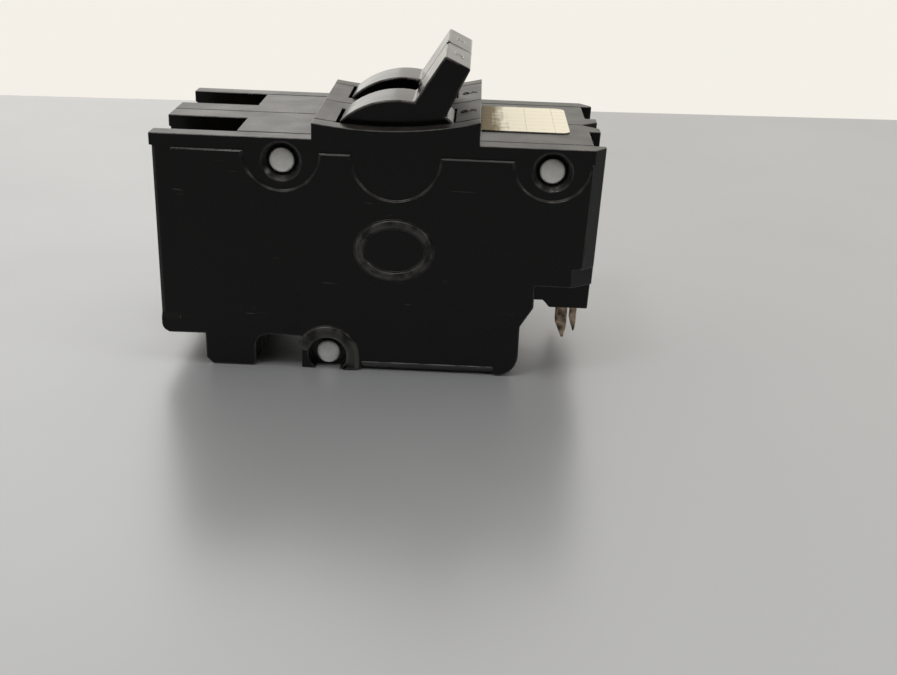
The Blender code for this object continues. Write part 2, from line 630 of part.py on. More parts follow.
def make_cover(name, side):
    """The shallow half of one pole, with the raised panel, the rivet scallops and the rings."""
    past = POLE_WIDTH + CUT_MARGIN
    past_top = CASE_TOP + COLLAR_RIGHT_RISE + CUT_MARGIN
    before = COVER_INNER - CUT_MARGIN
    band_line = CASE_TOP - BAND_HEIGHT
    cover = plate(name, side, case_outline(), COVER_INNER, PANEL)
    arch_left = X_RIGHT - ARCH_INSET - ARCH_HALF_WIDTH
    below = rectangle(arch_left, X_RIGHT + CUT_MARGIN, 0, PANEL_FLOOR)
    cut(cover, plate("below_panel", side, below, before, past))
    inner_floor = RIGHT_FLOOR + RIGHT_FLOOR_RISE
    pocket_end = BAND - COVER_WALL
    cut(cover, plate("chamber", side, chamber_outline(inner_floor), before, pocket_end))
    band = rectangle(X_LEFT - CUT_MARGIN, X_RIGHT + CUT_MARGIN, band_line, past_top)
    cut(cover, plate("band", side, band, BAND, past))
    strip_right = X_LEFT + LIP_REACH + STRIP_WIDTH
    strip = rectangle(X_LEFT - CUT_MARGIN, strip_right, STRIP_BOTTOM, band_line + CUT_MARGIN)
    cut(cover, plate("strip", side, strip, BAND, past))
    scallops = [(RIVETS["left"][0], RIVET_SCALLOP_RADIUS), (HANDLE_X, HANDLE_SCALLOP_RADIUS)]
    scallops += [(RIVETS["right"][0], RIVET_SCALLOP_RADIUS)]
    for x, radius in scallops:
        cut(cover, rod("scallop", side, (x, band_line), radius, BAND, past, LARGE_ROUND_SIDES))
    bores = {"left": COUNTERBORE_RADIUS, "right": COUNTERBORE_RADIUS}
    bores["foot"] = FOOT_RING_RADIUS - FOOT_RING_WIDTH
    join(cover, plate("foot_ring", side, foot_ring(), BAND, POLE_WIDTH))
    for place, radius in bores.items():
        cut(cover, rod("counterbore", side, RIVETS[place], radius, COUNTERBORE, past, ROUND_SIDES))
    oval_centre = (HANDLE_X, OVAL_HEIGHT)
    rim = oval(oval_centre, OVAL_HALF_LENGTH, OVAL_HALF_HEIGHT, LARGE_ROUND_SIDES)
    bore = oval(oval_centre, OVAL_HALF_LENGTH - OVAL_RIM, OVAL_HALF_HEIGHT - OVAL_RIM, LARGE_ROUND_SIDES)
    ring = plate("ring", side, rim, BAND, POLE_WIDTH)
    cut(ring, plate("ring_bore", side, bore, PANEL, past))
    join(cover, ring)
    cut_end_chamfers(cover, side)
    cut_bottom_chamfer(cover, side)
    cut_trunnion_hole(cover, side, before, DRUM_OUTER + TRUNNION_LENGTH + FIT_GAP)
    cut_rivet_holes(cover, side, before, past)
    return cover


def make_rivet(name, centre):
    """A through rivet with a low domed head on both covers."""
    seat = COUNTERBORE + FIT_GAP
    crown = seat + RIVET_HEAD_HEIGHT
    half = [(RIVET_RADIUS, seat), (RIVET_HEAD_RADIUS, seat), (RIVET_HEAD_RADIUS, crown - RIVET_DOME)]
    half += [(RIVET_CROWN_RADIUS, crown)]
    mirrored = [(radius, -depth) for radius, depth in reversed(half)]
    return turned(name, centre, mirrored + half, ROUND_SIDES)


# Handle
def make_handle(name, side):
    """One pole's half of the handle: a drum sector on trunnions and half of the shared lever."""
    outer = [polar(PIVOT, DRUM_RADIUS, DRUM_START + (DRUM_END - DRUM_START) * i / ROUND_SIDES)
             for i in range(ROUND_SIDES + 1)]
    hub_start = DRUM_END + math.pi / 2
    hub_end = DRUM_START + 3 * math.pi / 2
    hub = [polar(PIVOT, HUB_RADIUS, hub_start + (hub_end - hub_start) * i / ARC_STEPS)
           for i in range(ARC_STEPS + 1)]
    handle = plate(name, side, outer + hub, DRUM_INNER, DRUM_OUTER)
    trunnion_inner = DRUM_INNER - TRUNNION_LENGTH
    trunnion_outer = DRUM_OUTER + TRUNNION_LENGTH
    join(handle, rod("trunnion", side, PIVOT, TRUNNION_RADIUS, trunnion_inner, trunnion_outer, ROUND_SIDES))
    root = DRUM_RADIUS - LEVER_OVERLAP
    lever = [polar(PIVOT, root, LEVER_ROOT_START), polar(PIVOT, LEVER_RADIUS, LEVER_TIP_START)]
    lever += [polar(PIVOT, LEVER_RADIUS, LEVER_TIP_END), polar(PIVOT, root, LEVER_ROOT_END)]
    join(handle, plate("lever", side, lever, BASE_INNER, DRUM_OUTER))
    cut(handle, rod("tie_hole", side, tie_place(), TIE_RADIUS + FIT_GAP, -CUT_MARGIN, TIE_END + FIT_GAP))
    set_origin(handle, (PIVOT[0], 0, PIVOT[1]))
    return handle


def tie_place():
    return polar(PIVOT, LEVER_RADIUS - TIE_DROP, (LEVER_TIP_START + LEVER_TIP_END) / 2)


def make_tie_pin(name):
    pin = rod(name, 1, tie_place(), TIE_RADIUS, -TIE_END, TIE_END)
    set_origin(pin, (PIVOT[0], 0, PIVOT[1]))
    return pin


# Wire terminal
def make_load_strap(name, side):
    """From the wire clamp through the partition, down to a foot under the bimetal."""
    left = X_LEFT + STRAP_INSET
    drop_right = STRAP_DROP_LEFT + STRAP_THICKNESS
    foot_right = STRAP_DROP_LEFT + STRAP_FOOT
    foot_bottom = STRAP_FOOT_TOP - STRAP_THICKNESS
    outline = [(left, STRAP_BOTTOM), (STRAP_DROP_LEFT, STRAP_BOTTOM), (STRAP_DROP_LEFT, foot_bottom)]
    outline += [(foot_right, foot_bottom), (foot_right, STRAP_FOOT_TOP), (drop_right, STRAP_FOOT_TOP)]
    outline += [(drop_right, STRAP_TOP), (left, STRAP_TOP)]
    half = STRAP_WIDTH / 2
    return plate(name, side, outline, POLE_CENTRE - half, POLE_CENTRE + half)


def make_terminal_bracket(name, side):
    """An angle that stands on the strap and carries the clamp screw in its top arm."""
    right = TERMINAL_END - FIT_GAP
    left = right - BRACKET_REACH
    inside = right - BRACKET_THICKNESS
    arm_bottom = BRACKET_TOP - BRACKET_THICKNESS
    foot = STRAP_TOP + FIT_GAP
    outline = [(inside, foot), (right, foot), (right, BRACKET_TOP), (left, BRACKET_TOP)]
    outline += [(left, arm_bottom), (inside, arm_bottom)]
    half = BRACKET_WIDTH / 2
    bracket = plate(name, side, outline, POLE_CENTRE - half, POLE_CENTRE + half)
    bottom = arm_bottom - CUT_MARGIN
    top = BRACKET_TOP + CUT_MARGIN
    cut(bracket, disc("hole", SCREW_X, side * POLE_CENTRE, SCREW_RADIUS + FIT_GAP, bottom, top, ROUND_SIDES))
    return bracket


def make_pressure_plate(name, side):
    half_length = PRESSURE_PLATE_LENGTH / 2
    half_width = PRESSURE_PLATE_WIDTH / 2
    top = PRESSURE_PLATE_BOTTOM + PRESSURE_PLATE_THICKNESS
    outline = rectangle(SCREW_X - half_length, SCREW_X + half_length, PRESSURE_PLATE_BOTTOM, top)
    pressure_plate = plate(name, side, outline, POLE_CENTRE - half_width, POLE_CENTRE + half_width)
    set_origin(pressure_plate, (SCREW_X, side * POLE_CENTRE, PRESSURE_PLATE_BOTTOM))
    return pressure_plate


def make_terminal_screw(name, side):
    """A slotted screw down through the bracket, ending on the pressure plate."""
    y = side * POLE_CENTRE
    head_top = SCREW_HEAD_BOTTOM + SCREW_HEAD_HEIGHT
    screw = disc(name, SCREW_X, y, SCREW_RADIUS, SCREW_TIP, head_top - SCREW_SLOT_DEPTH, ROUND_SIDES)
    join(screw, disc("head", SCREW_X, y, SCREW_HEAD_RADIUS, SCREW_HEAD_BOTTOM, head_top, ROUND_SIDES))
    reach = SCREW_HEAD_RADIUS + CUT_MARGIN
    slot_top = head_top + CUT_MARGIN
    slot = rectangle(SCREW_X - reach, SCREW_X + reach, head_top - SCREW_SLOT_DEPTH, slot_top)
    half = SCREW_SLOT_WIDTH / 2
    cut(screw, plate("slot", side, slot, POLE_CENTRE - half, POLE_CENTRE + half))
    set_origin(screw, (SCREW_X, y, SCREW_TIP))
    return screw


# Trip parts
def make_bimetal(name, side):
    half = BIMETAL_WIDTH / 2
    outline = rectangle(BIMETAL_LEFT, BIMETAL_RIGHT, BIMETAL_BOTTOM, BIMETAL_TOP)
    return plate(name, side, outline, POLE_CENTRE - half, POLE_CENTRE + half)


def make_magnet_yoke(name, side):
    """A steel channel round the bimetal, with two poles that face the armature."""
    bottom = BIMETAL_BOTTOM + YOKE_LIFT
    inside = BIMETAL_WIDTH / 2 + YOKE_GAP
    outside = inside + YOKE_THICKNESS
    poles_end = ARMATURE_LEFT - ARMATURE_GAP
    outline = [(YOKE_BACK, -outside), (poles_end, -outside), (poles_end, -inside)]
    outline += [(YOKE_BACK + YOKE_THICKNESS, -inside), (YOKE_BACK + YOKE_THICKNESS, inside)]
    outline += [(poles_end, inside), (poles_end, outside), (YOKE_BACK, outside)]
    outline = [(x, side * POLE_CENTRE + y) for x, y in outline]
    return column(name, outline, bottom, bottom + YOKE_HEIGHT)


def make_armature(name, side):
    outline = rectangle(ARMATURE_LEFT, ARMATURE_RIGHT, ARMATURE_BOTTOM, ARMATURE_TOP)
    armature = plate(name, side, outline, ARMATURE_INNER, ARMATURE_INNER + ARMATURE_WIDTH)
    set_origin(armature, (ARMATURE_HINGE[0], side * POLE_CENTRE, ARMATURE_HINGE[1]))
    return armature


def make_trip_bar(name):
    """An insulating bar through both webs, with a flag hanging in each pole."""
    bar = rod(name, 1, BAR, BAR_RADIUS, -BAR_END, BAR_END)
    for side in SIDES.values():
        outline = rectangle(FLAG_LEFT, FLAG_LEFT + FLAG_THICKNESS, BAR[1] - FLAG_LENGTH, BAR[1])
        inner = POLE_CENTRE - FLAG_OFFSET
        join(bar, plate("flag", side, outline, inner, inner + FLAG_WIDTH))
    set_origin(bar, (BAR[0], 0, BAR[1]))
    return bar


def make_cradle(name, side):
    """The latched lever: its tip waits at the armature, its other end turns on a pin."""
    half_tip = CRADLE_TIP_HEIGHT / 2
    outer = CRADLE_INNER + CRADLE_THICKNESS
    cradle = rod(name, side, CRADLE_PIVOT, CRADLE_HUB_RADIUS, CRADLE_INNER, outer, ROUND_SIDES)
    lever = [(CRADLE_PIVOT[0], CRADLE_PIVOT[1] - half_tip), (CRADLE_PIVOT[0], CRADLE_PIVOT[1] + half_tip)]
    lever += [(CRADLE_TIP[0], CRADLE_TIP[1] + half_tip), (CRADLE_TIP[0], CRADLE_TIP[1] - half_tip)]
    join(cradle, plate("lever", side, lever, CRADLE_INNER, outer))
    bore = PIN_RADIUS + FIT_GAP
    cut(cradle, rod("bore", side, CRADLE_PIVOT, bore, CRADLE_INNER - CUT_MARGIN, outer + CUT_MARGIN))
    set_origin(cradle, (CRADLE_PIVOT[0], side * CRADLE_INNER, CRADLE_PIVOT[1]))
    return cradle


def make_pin(name, side, centre, end):
    """A pin seated in the web, ending just past the piece that turns on it."""
    return rod(name, side, centre, PIN_RADIUS, CHAMBER_INNER - PIN_SEAT + FIT_GAP, end + PIN_REACH)


def make_toggle_spring(name, side):
    """A coil from below the contact arm down to the side of the cradle."""
    depth = CRADLE_INNER + CRADLE_THICKNESS + FIT_GAP + SPRING_WIRE_RADIUS + SPRING_COIL_RADIUS
    lean = (CRADLE_TIP[1] - CRADLE_PIVOT[1]) / (CRADLE_TIP[0] - CRADLE_PIVOT[0])
    start = Vector((ARM_PIVOT[0] + SPRING_ARM_OFFSET, 0, ARM_UNDERSIDE))
    end_x = CRADLE_PIVOT[0] - SPRING_CRADLE_OFFSET
    end = Vector((end_x, 0, CRADLE_PIVOT[1] - SPRING_CRADLE_OFFSET * lean))
    axis = end - start
    across = Vector((-axis.z, 0, axis.x)).normalized()
    steps = SPRING_TURNS * SPRING_STEPS
    points = []
    for i in range(steps + 1):
        turn = 2 * math.pi * i / SPRING_STEPS
        place = start + axis * (i / steps) + across * (SPRING_COIL_RADIUS * math.cos(turn))
        points.append((place.x, side * (depth + SPRING_COIL_RADIUS * math.sin(turn)), place.z))
    return tube(name, points, SPRING_WIRE_RADIUS, 1)


def make_braid(name, side):
    """The flexible lead from the top of the bimetal to the side of the contact arm."""
    depth = POLE_CENTRE + ARM_THICKNESS / 2 + FIT_GAP + BRAID_RADIUS
    start = Vector((BIMETAL_RIGHT + FIT_GAP, side * depth, ARMATURE_TOP + 2 * BRAID_RADIUS))
    end = Vector((ARM_PIVOT[0] - PIN_RADIUS - FIT_GAP, side * depth, ARM_PIVOT[1]))
    pull = Vector(((end.x - start.x) / 2, 0, 0))
    controls = [start, start + pull, end - pull - Vector((0, 0, BRAID_SAG)), end]
    points = []
    for i in range(ARC_STEPS + 1):
        t = i / ARC_STEPS
        weights = ((1 - t) ** 3, 3 * t * (1 - t) ** 2, 3 * t * t * (1 - t), t ** 3)
        points.append(sum((control * weight for control, weight in zip(controls, weights)), Vector()))
    return tube(name, points, BRAID_RADIUS, 1)


# Contacts
def make_contact_arm(name, side):
    """The blade that swings up from the fixed contact, on a pin under the handle."""
    inner = POLE_CENTRE - ARM_THICKNESS / 2
    outer = POLE_CENTRE + ARM_THICKNESS / 2
    arm = rod(name, side, ARM_PIVOT, ARM_HUB_RADIUS, inner, outer, ROUND_SIDES)
    blade = [(ARM_PIVOT[0], ARM_PIVOT[1] - ARM_ROOT_HALF_HEIGHT)]
    blade += [(CONTACT_X - CONTACT_RADIUS - FIT_GAP, ARM_UNDERSIDE), (ARM_TIP, ARM_UNDERSIDE)]
    blade += [(ARM_TIP, ARM_UNDERSIDE + ARM_TIP_HEIGHT)]
    blade += [(ARM_PIVOT[0], ARM_PIVOT[1] + ARM_ROOT_HALF_HEIGHT)]
    join(arm, plate("blade", side, blade, inner, outer))
    bore = PIN_RADIUS + FIT_GAP
    cut(arm, rod("bore", side, ARM_PIVOT, bore, inner - CUT_MARGIN, outer + CUT_MARGIN))
    set_origin(arm, (ARM_PIVOT[0], side * POLE_CENTRE, ARM_PIVOT[1]))
    return arm


def make_moving_contact(name, side):
    top = MOVING_CONTACT_BOTTOM + CONTACT_HEIGHT
    y = side * POLE_CENTRE
    contact = disc(name, CONTACT_X, y, CONTACT_RADIUS, MOVING_CONTACT_BOTTOM, top, ROUND_SIDES)
    set_origin(contact, (ARM_PIVOT[0], y, ARM_PIVOT[1]))
    return contact


def make_fixed_contact(name, side):
    top = FIXED_CONTACT_BOTTOM + CONTACT_HEIGHT
    return disc(name, CONTACT_X, side * POLE_CENTRE, CONTACT_RADIUS, FIXED_CONTACT_BOTTOM, top, ROUND_SIDES)


def stab_span():
    """The left and right edges of the two prongs."""
    right = X_RIGHT - STAB_INSET
    return right - sum(PRONG_WIDTHS) - PRONG_GAP, right


def make_line_stab(name, side):
    """The copper strap under the fixed contact, with two pointed prongs out of the housing."""
    half = LINE_STRAP_WIDTH / 2
    left = CHAMBER_STEP + FIT_GAP
    stab_left, stab_right = stab_span()
    flat = rectangle(left, stab_right, LINE_STRAP_BOTTOM, LINE_STRAP_TOP)
    stab = plate(name, side, flat, POLE_CENTRE - half, POLE_CENTRE + half)
    root = (LINE_STRAP_BOTTOM + LINE_STRAP_TOP) / 2
    edge = stab_left
    for width, tip, taper in zip(PRONG_WIDTHS, PRONG_TIPS, PRONG_TAPERS):
        prong = [(edge, root), (edge, tip + taper), (edge + width * PRONG_POINT_START, tip)]
        prong += [(edge + width * PRONG_POINT_END, tip), (edge + width, tip + taper * PRONG_BACK_TAPER)]
        prong.append((edge + width, root))
        blade_half = STAB_THICKNESS / 2
        join(stab, plate("prong", side, prong, POLE_CENTRE - blade_half, POLE_CENTRE + blade_half))
        edge += width + PRONG_GAP
    return stab


def make_arc_chute(name, side):
    """Steel plates on one back strip, just past the sweep of the contact arm."""
    left = ARM_TIP + CHUTE_CLEARANCE
    right = CHAMBER_RIGHT - FIT_GAP
    half = CHUTE_WIDTH / 2
    bottom = LINE_STRAP_TOP + FIT_GAP
    first = bottom + CHUTE_PITCH
    top = first + CHUTE_PITCH * (CHUTE_PLATES - 1) + CHUTE_PLATE_THICKNESS
    outline = [(right, bottom), (right, top)]
    for i in reversed(range(CHUTE_PLATES)):
        plate_bottom = first + CHUTE_PITCH * i
        plate_top = plate_bottom + CHUTE_PLATE_THICKNESS
        if i < CHUTE_PLATES - 1:
            outline.append((right - CHUTE_BACK, plate_top))
        outline += [(left, plate_top), (left, plate_bottom), (right - CHUTE_BACK, plate_bottom)]
    outline.append((right - CHUTE_BACK, bottom))
    return plate(name, side, outline, POLE_CENTRE - half, POLE_CENTRE + half)


# Label
def make_label(name):
    """A paper label on top, with rounded corners at the stab end."""
    left = COLLAR_RIGHT + FIT_GAP
    right = X_RIGHT - LABEL_INSET
    quarter = math.pi / 2
    steps = ARC_STEPS // 2
    corner_x = right - LABEL_CORNER
    outline = [(left, LABEL_FAR), (left, -LABEL_NEAR)]
    outline += arc((corner_x, LABEL_CORNER - LABEL_NEAR), LABEL_CORNER, -quarter, 0, steps)
    outline += arc((corner_x, LABEL_FAR - LABEL_CORNER), LABEL_CORNER, 0, quarter, steps)
    bottom = CASE_TOP + LABEL_GAP
    return column(name, outline, bottom, bottom + LABEL_THICKNESS)


def make_pole(label, side, materials):
    """Every piece of one pole, named with its side."""
    makers = [
        ("base", make_base, "case"),
        ("cover", make_cover, "case"),
        ("handle", make_handle, "handle"),
        ("load_strap", make_load_strap, "copper"),
        ("terminal_bracket", make_terminal_bracket, "steel"),
        ("pressure_plate", make_pressure_plate, "steel"),
        ("terminal_screw", make_terminal_screw, "brass"),
        ("bimetal", make_bimetal, "bimetal"),
        ("magnet_yoke", make_magnet_yoke, "steel"),
        ("armature", make_armature, "steel"),
        ("cradle", make_cradle, "steel"),
        ("toggle_spring", make_toggle_spring, "steel"),
        ("braid", make_braid, "copper"),
        ("contact_arm", make_contact_arm, "copper"),
        ("moving_contact", make_moving_contact, "silver"),
        ("fixed_contact", make_fixed_contact, "silver"),
        ("line_stab", make_line_stab, "copper"),
        ("arc_chute", make_arc_chute, "steel"),
    ]
    for piece, maker, material in makers:
        finish(maker(f"{piece}_{label}", side), materials[material])
    arm_end = POLE_CENTRE + ARM_THICKNESS / 2
    finish(make_pin(f"arm_pin_{label}", side, ARM_PIVOT, arm_end), materials["steel"])
    cradle_end = CRADLE_INNER + CRADLE_THICKNESS
    finish(make_pin(f"cradle_pin_{label}", side, CRADLE_PIVOT, cradle_end), materials["steel"])


def main():
    clear_scene()
    materials = make_materials()
    for label, side in SIDES.items():
        make_pole(label, side, materials)
    for place, centre in RIVETS.items():
        finish(make_rivet(f"rivet_{place}", centre), materials["rivet"])
    finish(make_tie_pin("handle_tie_pin"), materials["steel"])
    finish(make_trip_bar("trip_bar"), materials["trip"])
    finish(make_label("top_label"), materials["label"])


main()
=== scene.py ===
"""A two-pole plug-in circuit breaker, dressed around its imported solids.

Lengths are metres, and +Z is up.
"""
import json
import math

import bmesh
import bpy
from mathutils import Matrix, Vector
from mathutils.bvhtree import BVHTree

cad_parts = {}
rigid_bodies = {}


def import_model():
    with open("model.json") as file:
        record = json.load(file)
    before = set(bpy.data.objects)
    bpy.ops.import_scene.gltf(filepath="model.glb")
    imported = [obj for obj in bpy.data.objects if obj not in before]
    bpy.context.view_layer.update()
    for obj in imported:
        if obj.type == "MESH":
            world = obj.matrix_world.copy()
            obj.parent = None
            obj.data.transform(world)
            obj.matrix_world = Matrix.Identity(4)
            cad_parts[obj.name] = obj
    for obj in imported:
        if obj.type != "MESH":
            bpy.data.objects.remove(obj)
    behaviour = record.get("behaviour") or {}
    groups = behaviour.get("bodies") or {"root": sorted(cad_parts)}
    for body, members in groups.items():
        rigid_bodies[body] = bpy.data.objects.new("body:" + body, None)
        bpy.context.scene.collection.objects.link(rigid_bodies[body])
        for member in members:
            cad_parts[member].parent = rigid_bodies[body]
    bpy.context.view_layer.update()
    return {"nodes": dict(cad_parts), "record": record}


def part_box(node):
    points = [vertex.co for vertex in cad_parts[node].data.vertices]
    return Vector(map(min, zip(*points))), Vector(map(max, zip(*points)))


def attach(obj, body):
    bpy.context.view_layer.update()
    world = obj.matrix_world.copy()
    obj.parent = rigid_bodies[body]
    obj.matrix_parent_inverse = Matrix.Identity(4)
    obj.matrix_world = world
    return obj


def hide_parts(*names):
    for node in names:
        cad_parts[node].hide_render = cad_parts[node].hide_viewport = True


bl_info = {
    "name": "Two-pole circuit breaker",
    "version": (1, 0, 0),
    "blender": (4, 5, 0),
    "location": "3D View > Sidebar > Breaker",
    "description": "Dresses the packed breaker: rounded mouldings, metal, paper and a plain studio",
    "category": "Object",
}

for leftover in list(bpy.data.objects):
    bpy.data.objects.remove(leftover)
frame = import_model()

MM = 0.001
SIDES = {"near": -1, "far": 1}
RIVETS = ("rivet_left", "rivet_right", "rivet_foot")

# Mesh tolerances, with the font's weld in the font's own units
WELD = 0.01 * MM
FONT_WELD = 1e-4
SHORT_EDGE = 0.12 * MM
FLAT_ANGLE = math.radians(0.6)
SHARP_ANGLE = math.radians(34)
BLUNT_ANGLE = math.radians(15)
SMOOTH_ANGLE = math.radians(40)

# Face attribute that the mouldings' materials read, and its values from clean to rubbed bare; on the
# raised rings it also paints a highlight
WEAR_AND_SHEEN = "edge_wear_and_sheen"
CLEAN = 0.0
PANEL_WEAR = 0.05
COVER_WEAR = 0.08
# The raised rings' values paint them paler: partly rubbed wear, partly a painted highlight in place
# of the sheen on their ridges
RING_TOP_WEAR_AND_SHEEN = 0.10
RING_SIDE_WEAR_AND_SHEEN = 0.14
EDGE_WEAR = 0.15
RUBBED = 1.0

# Sizes of the patterns in the materials. Real tool marks, grain and paper fibres are finer, and are
# drawn this coarse so that they show.
MOTTLE = 9 * MM
SMEAR = 3 * MM
STREAK_LENGTH = 11 * MM
STREAK_WIDTH = 0.6 * MM
METAL_CLOUD = 1.8 * MM
METAL_MARK = 0.35 * MM
SKIN_CLOUD = 1.2 * MM
SKIN_GRAIN = 0.3 * MM
PAPER_BLOTCH = 3 * MM
PAPER_FIBRE = 0.5 * MM
STAIN_STREAK_WIDTH = 0.9 * MM
STAIN_STREAK_LENGTH = 14 * MM
FLOOR_CLOUD = 60 * MM

# Sockets of a Mix node that mixes colours
FACTOR, FIRST, SECOND = 0, 6, 7

# The photograph's camera
CAMERA_PLACE = Vector((0.02054, -0.26464, 0.11450))
CAMERA_YAW = math.radians(-0.88)
CAMERA_PITCH = math.radians(23.70)
CAMERA_ROLL = math.radians(2.19)
CAMERA_SENSOR = 36
CAMERA_CLIP = 0.01
FOCAL_PIXELS = 1143.0
IMAGE_WIDTH = 897


# Settings
def linear(code):
    """An sRGB hex colour as linear red, green and blue."""
    parts = [int(code[i:i + 2], 16) / 255 for i in (1, 3, 5)]
    return tuple(
        part / 12.92 if part <= 0.04045 else ((part + 0.055) / 1.055) ** 2.4 for part in parts)


def colour(name, description, code):
    return bpy.props.FloatVectorProperty(
        name=name, description=description, subtype="COLOR", size=4, min=0, max=1,
        default=(*linear(code), 1))


def length(name, description, metres):
    return bpy.props.FloatProperty(
        name=name, description=description, unit="LENGTH", min=0, precision=5, default=metres)


class BreakerCaseLooks(bpy.types.PropertyGroup):
    """Looks of the moulded shells"""
    black: colour("Black", "Colour of the moulded case", "#070707")
    dust: colour("Dust", "Dust that settles on upper faces", "#77736d")
    # The scuff colour also paints the highlight on the raised rings
    scuff_and_sheen: colour("Scuff", "Rubbed streaks and worn edges", "#b5b2ac")
    end_reach: length("End reach", "How far the terminal end is drawn out below its lip", 0.7 * MM)
    bore_rim: length("Counterbore rim", "Radius of the upper rivets' counterbores", 4.4 * MM)
    bore_floor: length("Counterbore floor", "Radius that these counterbores taper to", 3.0 * MM)
    panel_round: length("Panel round", "Rounding on the raised panel", 0.4 * MM)
    panel_top_round: length(
        "Panel top round", "Rounding on the panel's straight upper edges", 0.08 * MM)
    strip_reach: length(
        "Strip reach", "How far the sunk strip runs in from the terminal end", 5.3 * MM)
    strip_bevel: length("Strip bevel", "Bevel on the sunk strip's outer edge", 0.8 * MM)
    strip_ramp: length(
        "Strip ramp", "Height over which the sunk strip runs out at its foot", 1.25 * MM)
    seam_round: length("Seam round", "Rounding on the bases where they meet the covers", 0.35 * MM)
    notch_flare: bpy.props.FloatProperty(
        name="Notch flare", min=1, default=1.5,
        description="How much wider the notch between the poles opens than in the solids")
    edge_round: length("Edge round", "Rounding on every other moulded edge", 0.2 * MM)
    worn_round: length("Worn round", "Width of the rubbed lower edge", 0.25 * MM)
    grain: length("Grain", "Size of the moulded grain, drawn coarser than the real one", 0.45 * MM)


class BreakerHandleLooks(bpy.types.PropertyGroup):
    """Looks of the handle and of the marks on and beside it"""
    black: colour("Black", "Colour of the moulded handle", "#070707")
    paint: colour("Paint", "Paint of the rating figures", "#d8d6cf")
    edge_round: length("Edge round", "Rounding on the handle's edges", 0.45 * MM)
    seam_round: length(
        "Seam round", "Rounding on the lever's raised side where its halves meet", 0.8 * MM)
    tip_round: length(
        "Tip round", "Rounding on the lever's other sides where its halves meet", 0.12 * MM)
    rating: bpy.props.StringProperty(
        name="Rating", description="Figures on each lever end", default="20")
    figure_height: length("Figure height", "Height of the rating figures", 2.4 * MM)
    mark_height: length("Mark height", "Height of the ON marks", 1.7 * MM)
    mark_reach: length("Mark reach", "Distance of the ON marks from the handle's pivot", 15.2 * MM)
    mark_relief: length("Mark relief", "How far the marks stand up", 0.15 * MM)
    paint_relief: length("Paint relief", "Thickness of the paint", 0.04 * MM)


class BreakerMetalLooks(bpy.types.PropertyGroup):
    """Looks of the metal pieces and of the trip bar"""
    rivet: colour("Rivets", "Plated steel of the rivets", "#fbfaf6")
    steel: colour("Steel", "Zinc plate on the inner steel pieces", "#b9babb")
    copper: colour("Copper", "Dull copper", "#d6bfa6")
    tarnish: colour("Tarnish", "Brown oxide on copper and brass", "#3b332b")
    brass: colour("Brass", "Turned brass of the terminal screws", "#c6a45e")
    silver: colour("Silver", "Silver alloy of the contacts", "#dedbd3")
    bimetal: colour("Bimetal", "Rolled bimetal strip", "#b3a691")
    fibre: colour("Fibre", "Red-brown moulded fibre of the trip bar", "#5e3626")
    edge_round: length("Edge round", "Rounding on stamped edges", 0.15 * MM)
    rivet_shank: length("Rivet shank", "Radius of the rivets between their heads", 1.8 * MM)
    rivet_head: length("Rivet head", "Height of a rivet's head", 0.9 * MM)
    thread_pitch: length(
        "Thread pitch", "Distance between the terminal screw's threads", 1.27 * MM)
    thread_height: length(
        "Thread height", "How far the thread stands out of the screw", 0.22 * MM)


class BreakerLabelLooks(bpy.types.PropertyGroup):
    """Looks of the paper label"""
    paper: colour("Paper", "Aged paper", "#efe7d3")
    stain: colour("Stain", "Brown stain beside the handle", "#76694c")
    ink: colour("Ink", "Faded printed rules", "#a89f88")
    edge_round: length("Edge round", "Rounding on the paper's edges", 0.06 * MM)
    stain_length: length("Stain length", "How far the stain reaches along the label", 4.6 * MM)
    column: length("Column", "Width of a printed cell", 6.5 * MM)
    row: length("Row", "Height of a printed cell", 3.6 * MM)
    rule: length("Rule", "Width of a printed line", 0.25 * MM)


class BreakerStageLooks(bpy.types.PropertyGroup):
    """Looks of the floor and the background"""
    floor: colour("Floor", "Pale satin metal floor", "#b8babd")
    wall: colour("Background", "Pale background", "#f4f0e8")
    floor_reach: length("Floor reach", "How far the floor runs behind the part", 258.5 * MM)
    floor_side: length("Floor side", "How far the floor runs to the sides and the front", 2.0)


GROUPS = {
    "breaker_case": BreakerCaseLooks,
    "breaker_handle": BreakerHandleLooks,
    "breaker_metal": BreakerMetalLooks,
    "breaker_label": BreakerLabelLooks,
    "breaker_stage": BreakerStageLooks,
}


# Materials
def add_node(tree, kind, inputs=None, **settings):
    """Add a node with its options, and fill its sockets with values, sockets or nodes' outputs."""
    node = tree.nodes.new(kind)
    for name, value in settings.items():
        setattr(node, name, value)
    for socket, value in (inputs or {}).items():
        if isinstance(value, bpy.types.Node):
            value = next(output for output in value.outputs if output.enabled)
        if isinstance(value, bpy.types.NodeSocket):
            tree.links.new(value, node.inputs[socket])
        else:
            node.inputs[socket].default_value = value
    return node


def new_material(name):
    """An empty material, its node tree and its coordinates."""
    material = bpy.data.materials.new(name)
    material.use_nodes = True
    tree = material.node_tree
    tree.nodes.clear()
    return material, tree, add_node(tree, "ShaderNodeTexCoord")


def close_material(tree, inputs):
    """Put one shader with these inputs on a material's surface."""
    shader = add_node(tree, "ShaderNodeBsdfPrincipled", inputs)
    add_node(tree, "ShaderNodeOutputMaterial", {"Surface": shader})


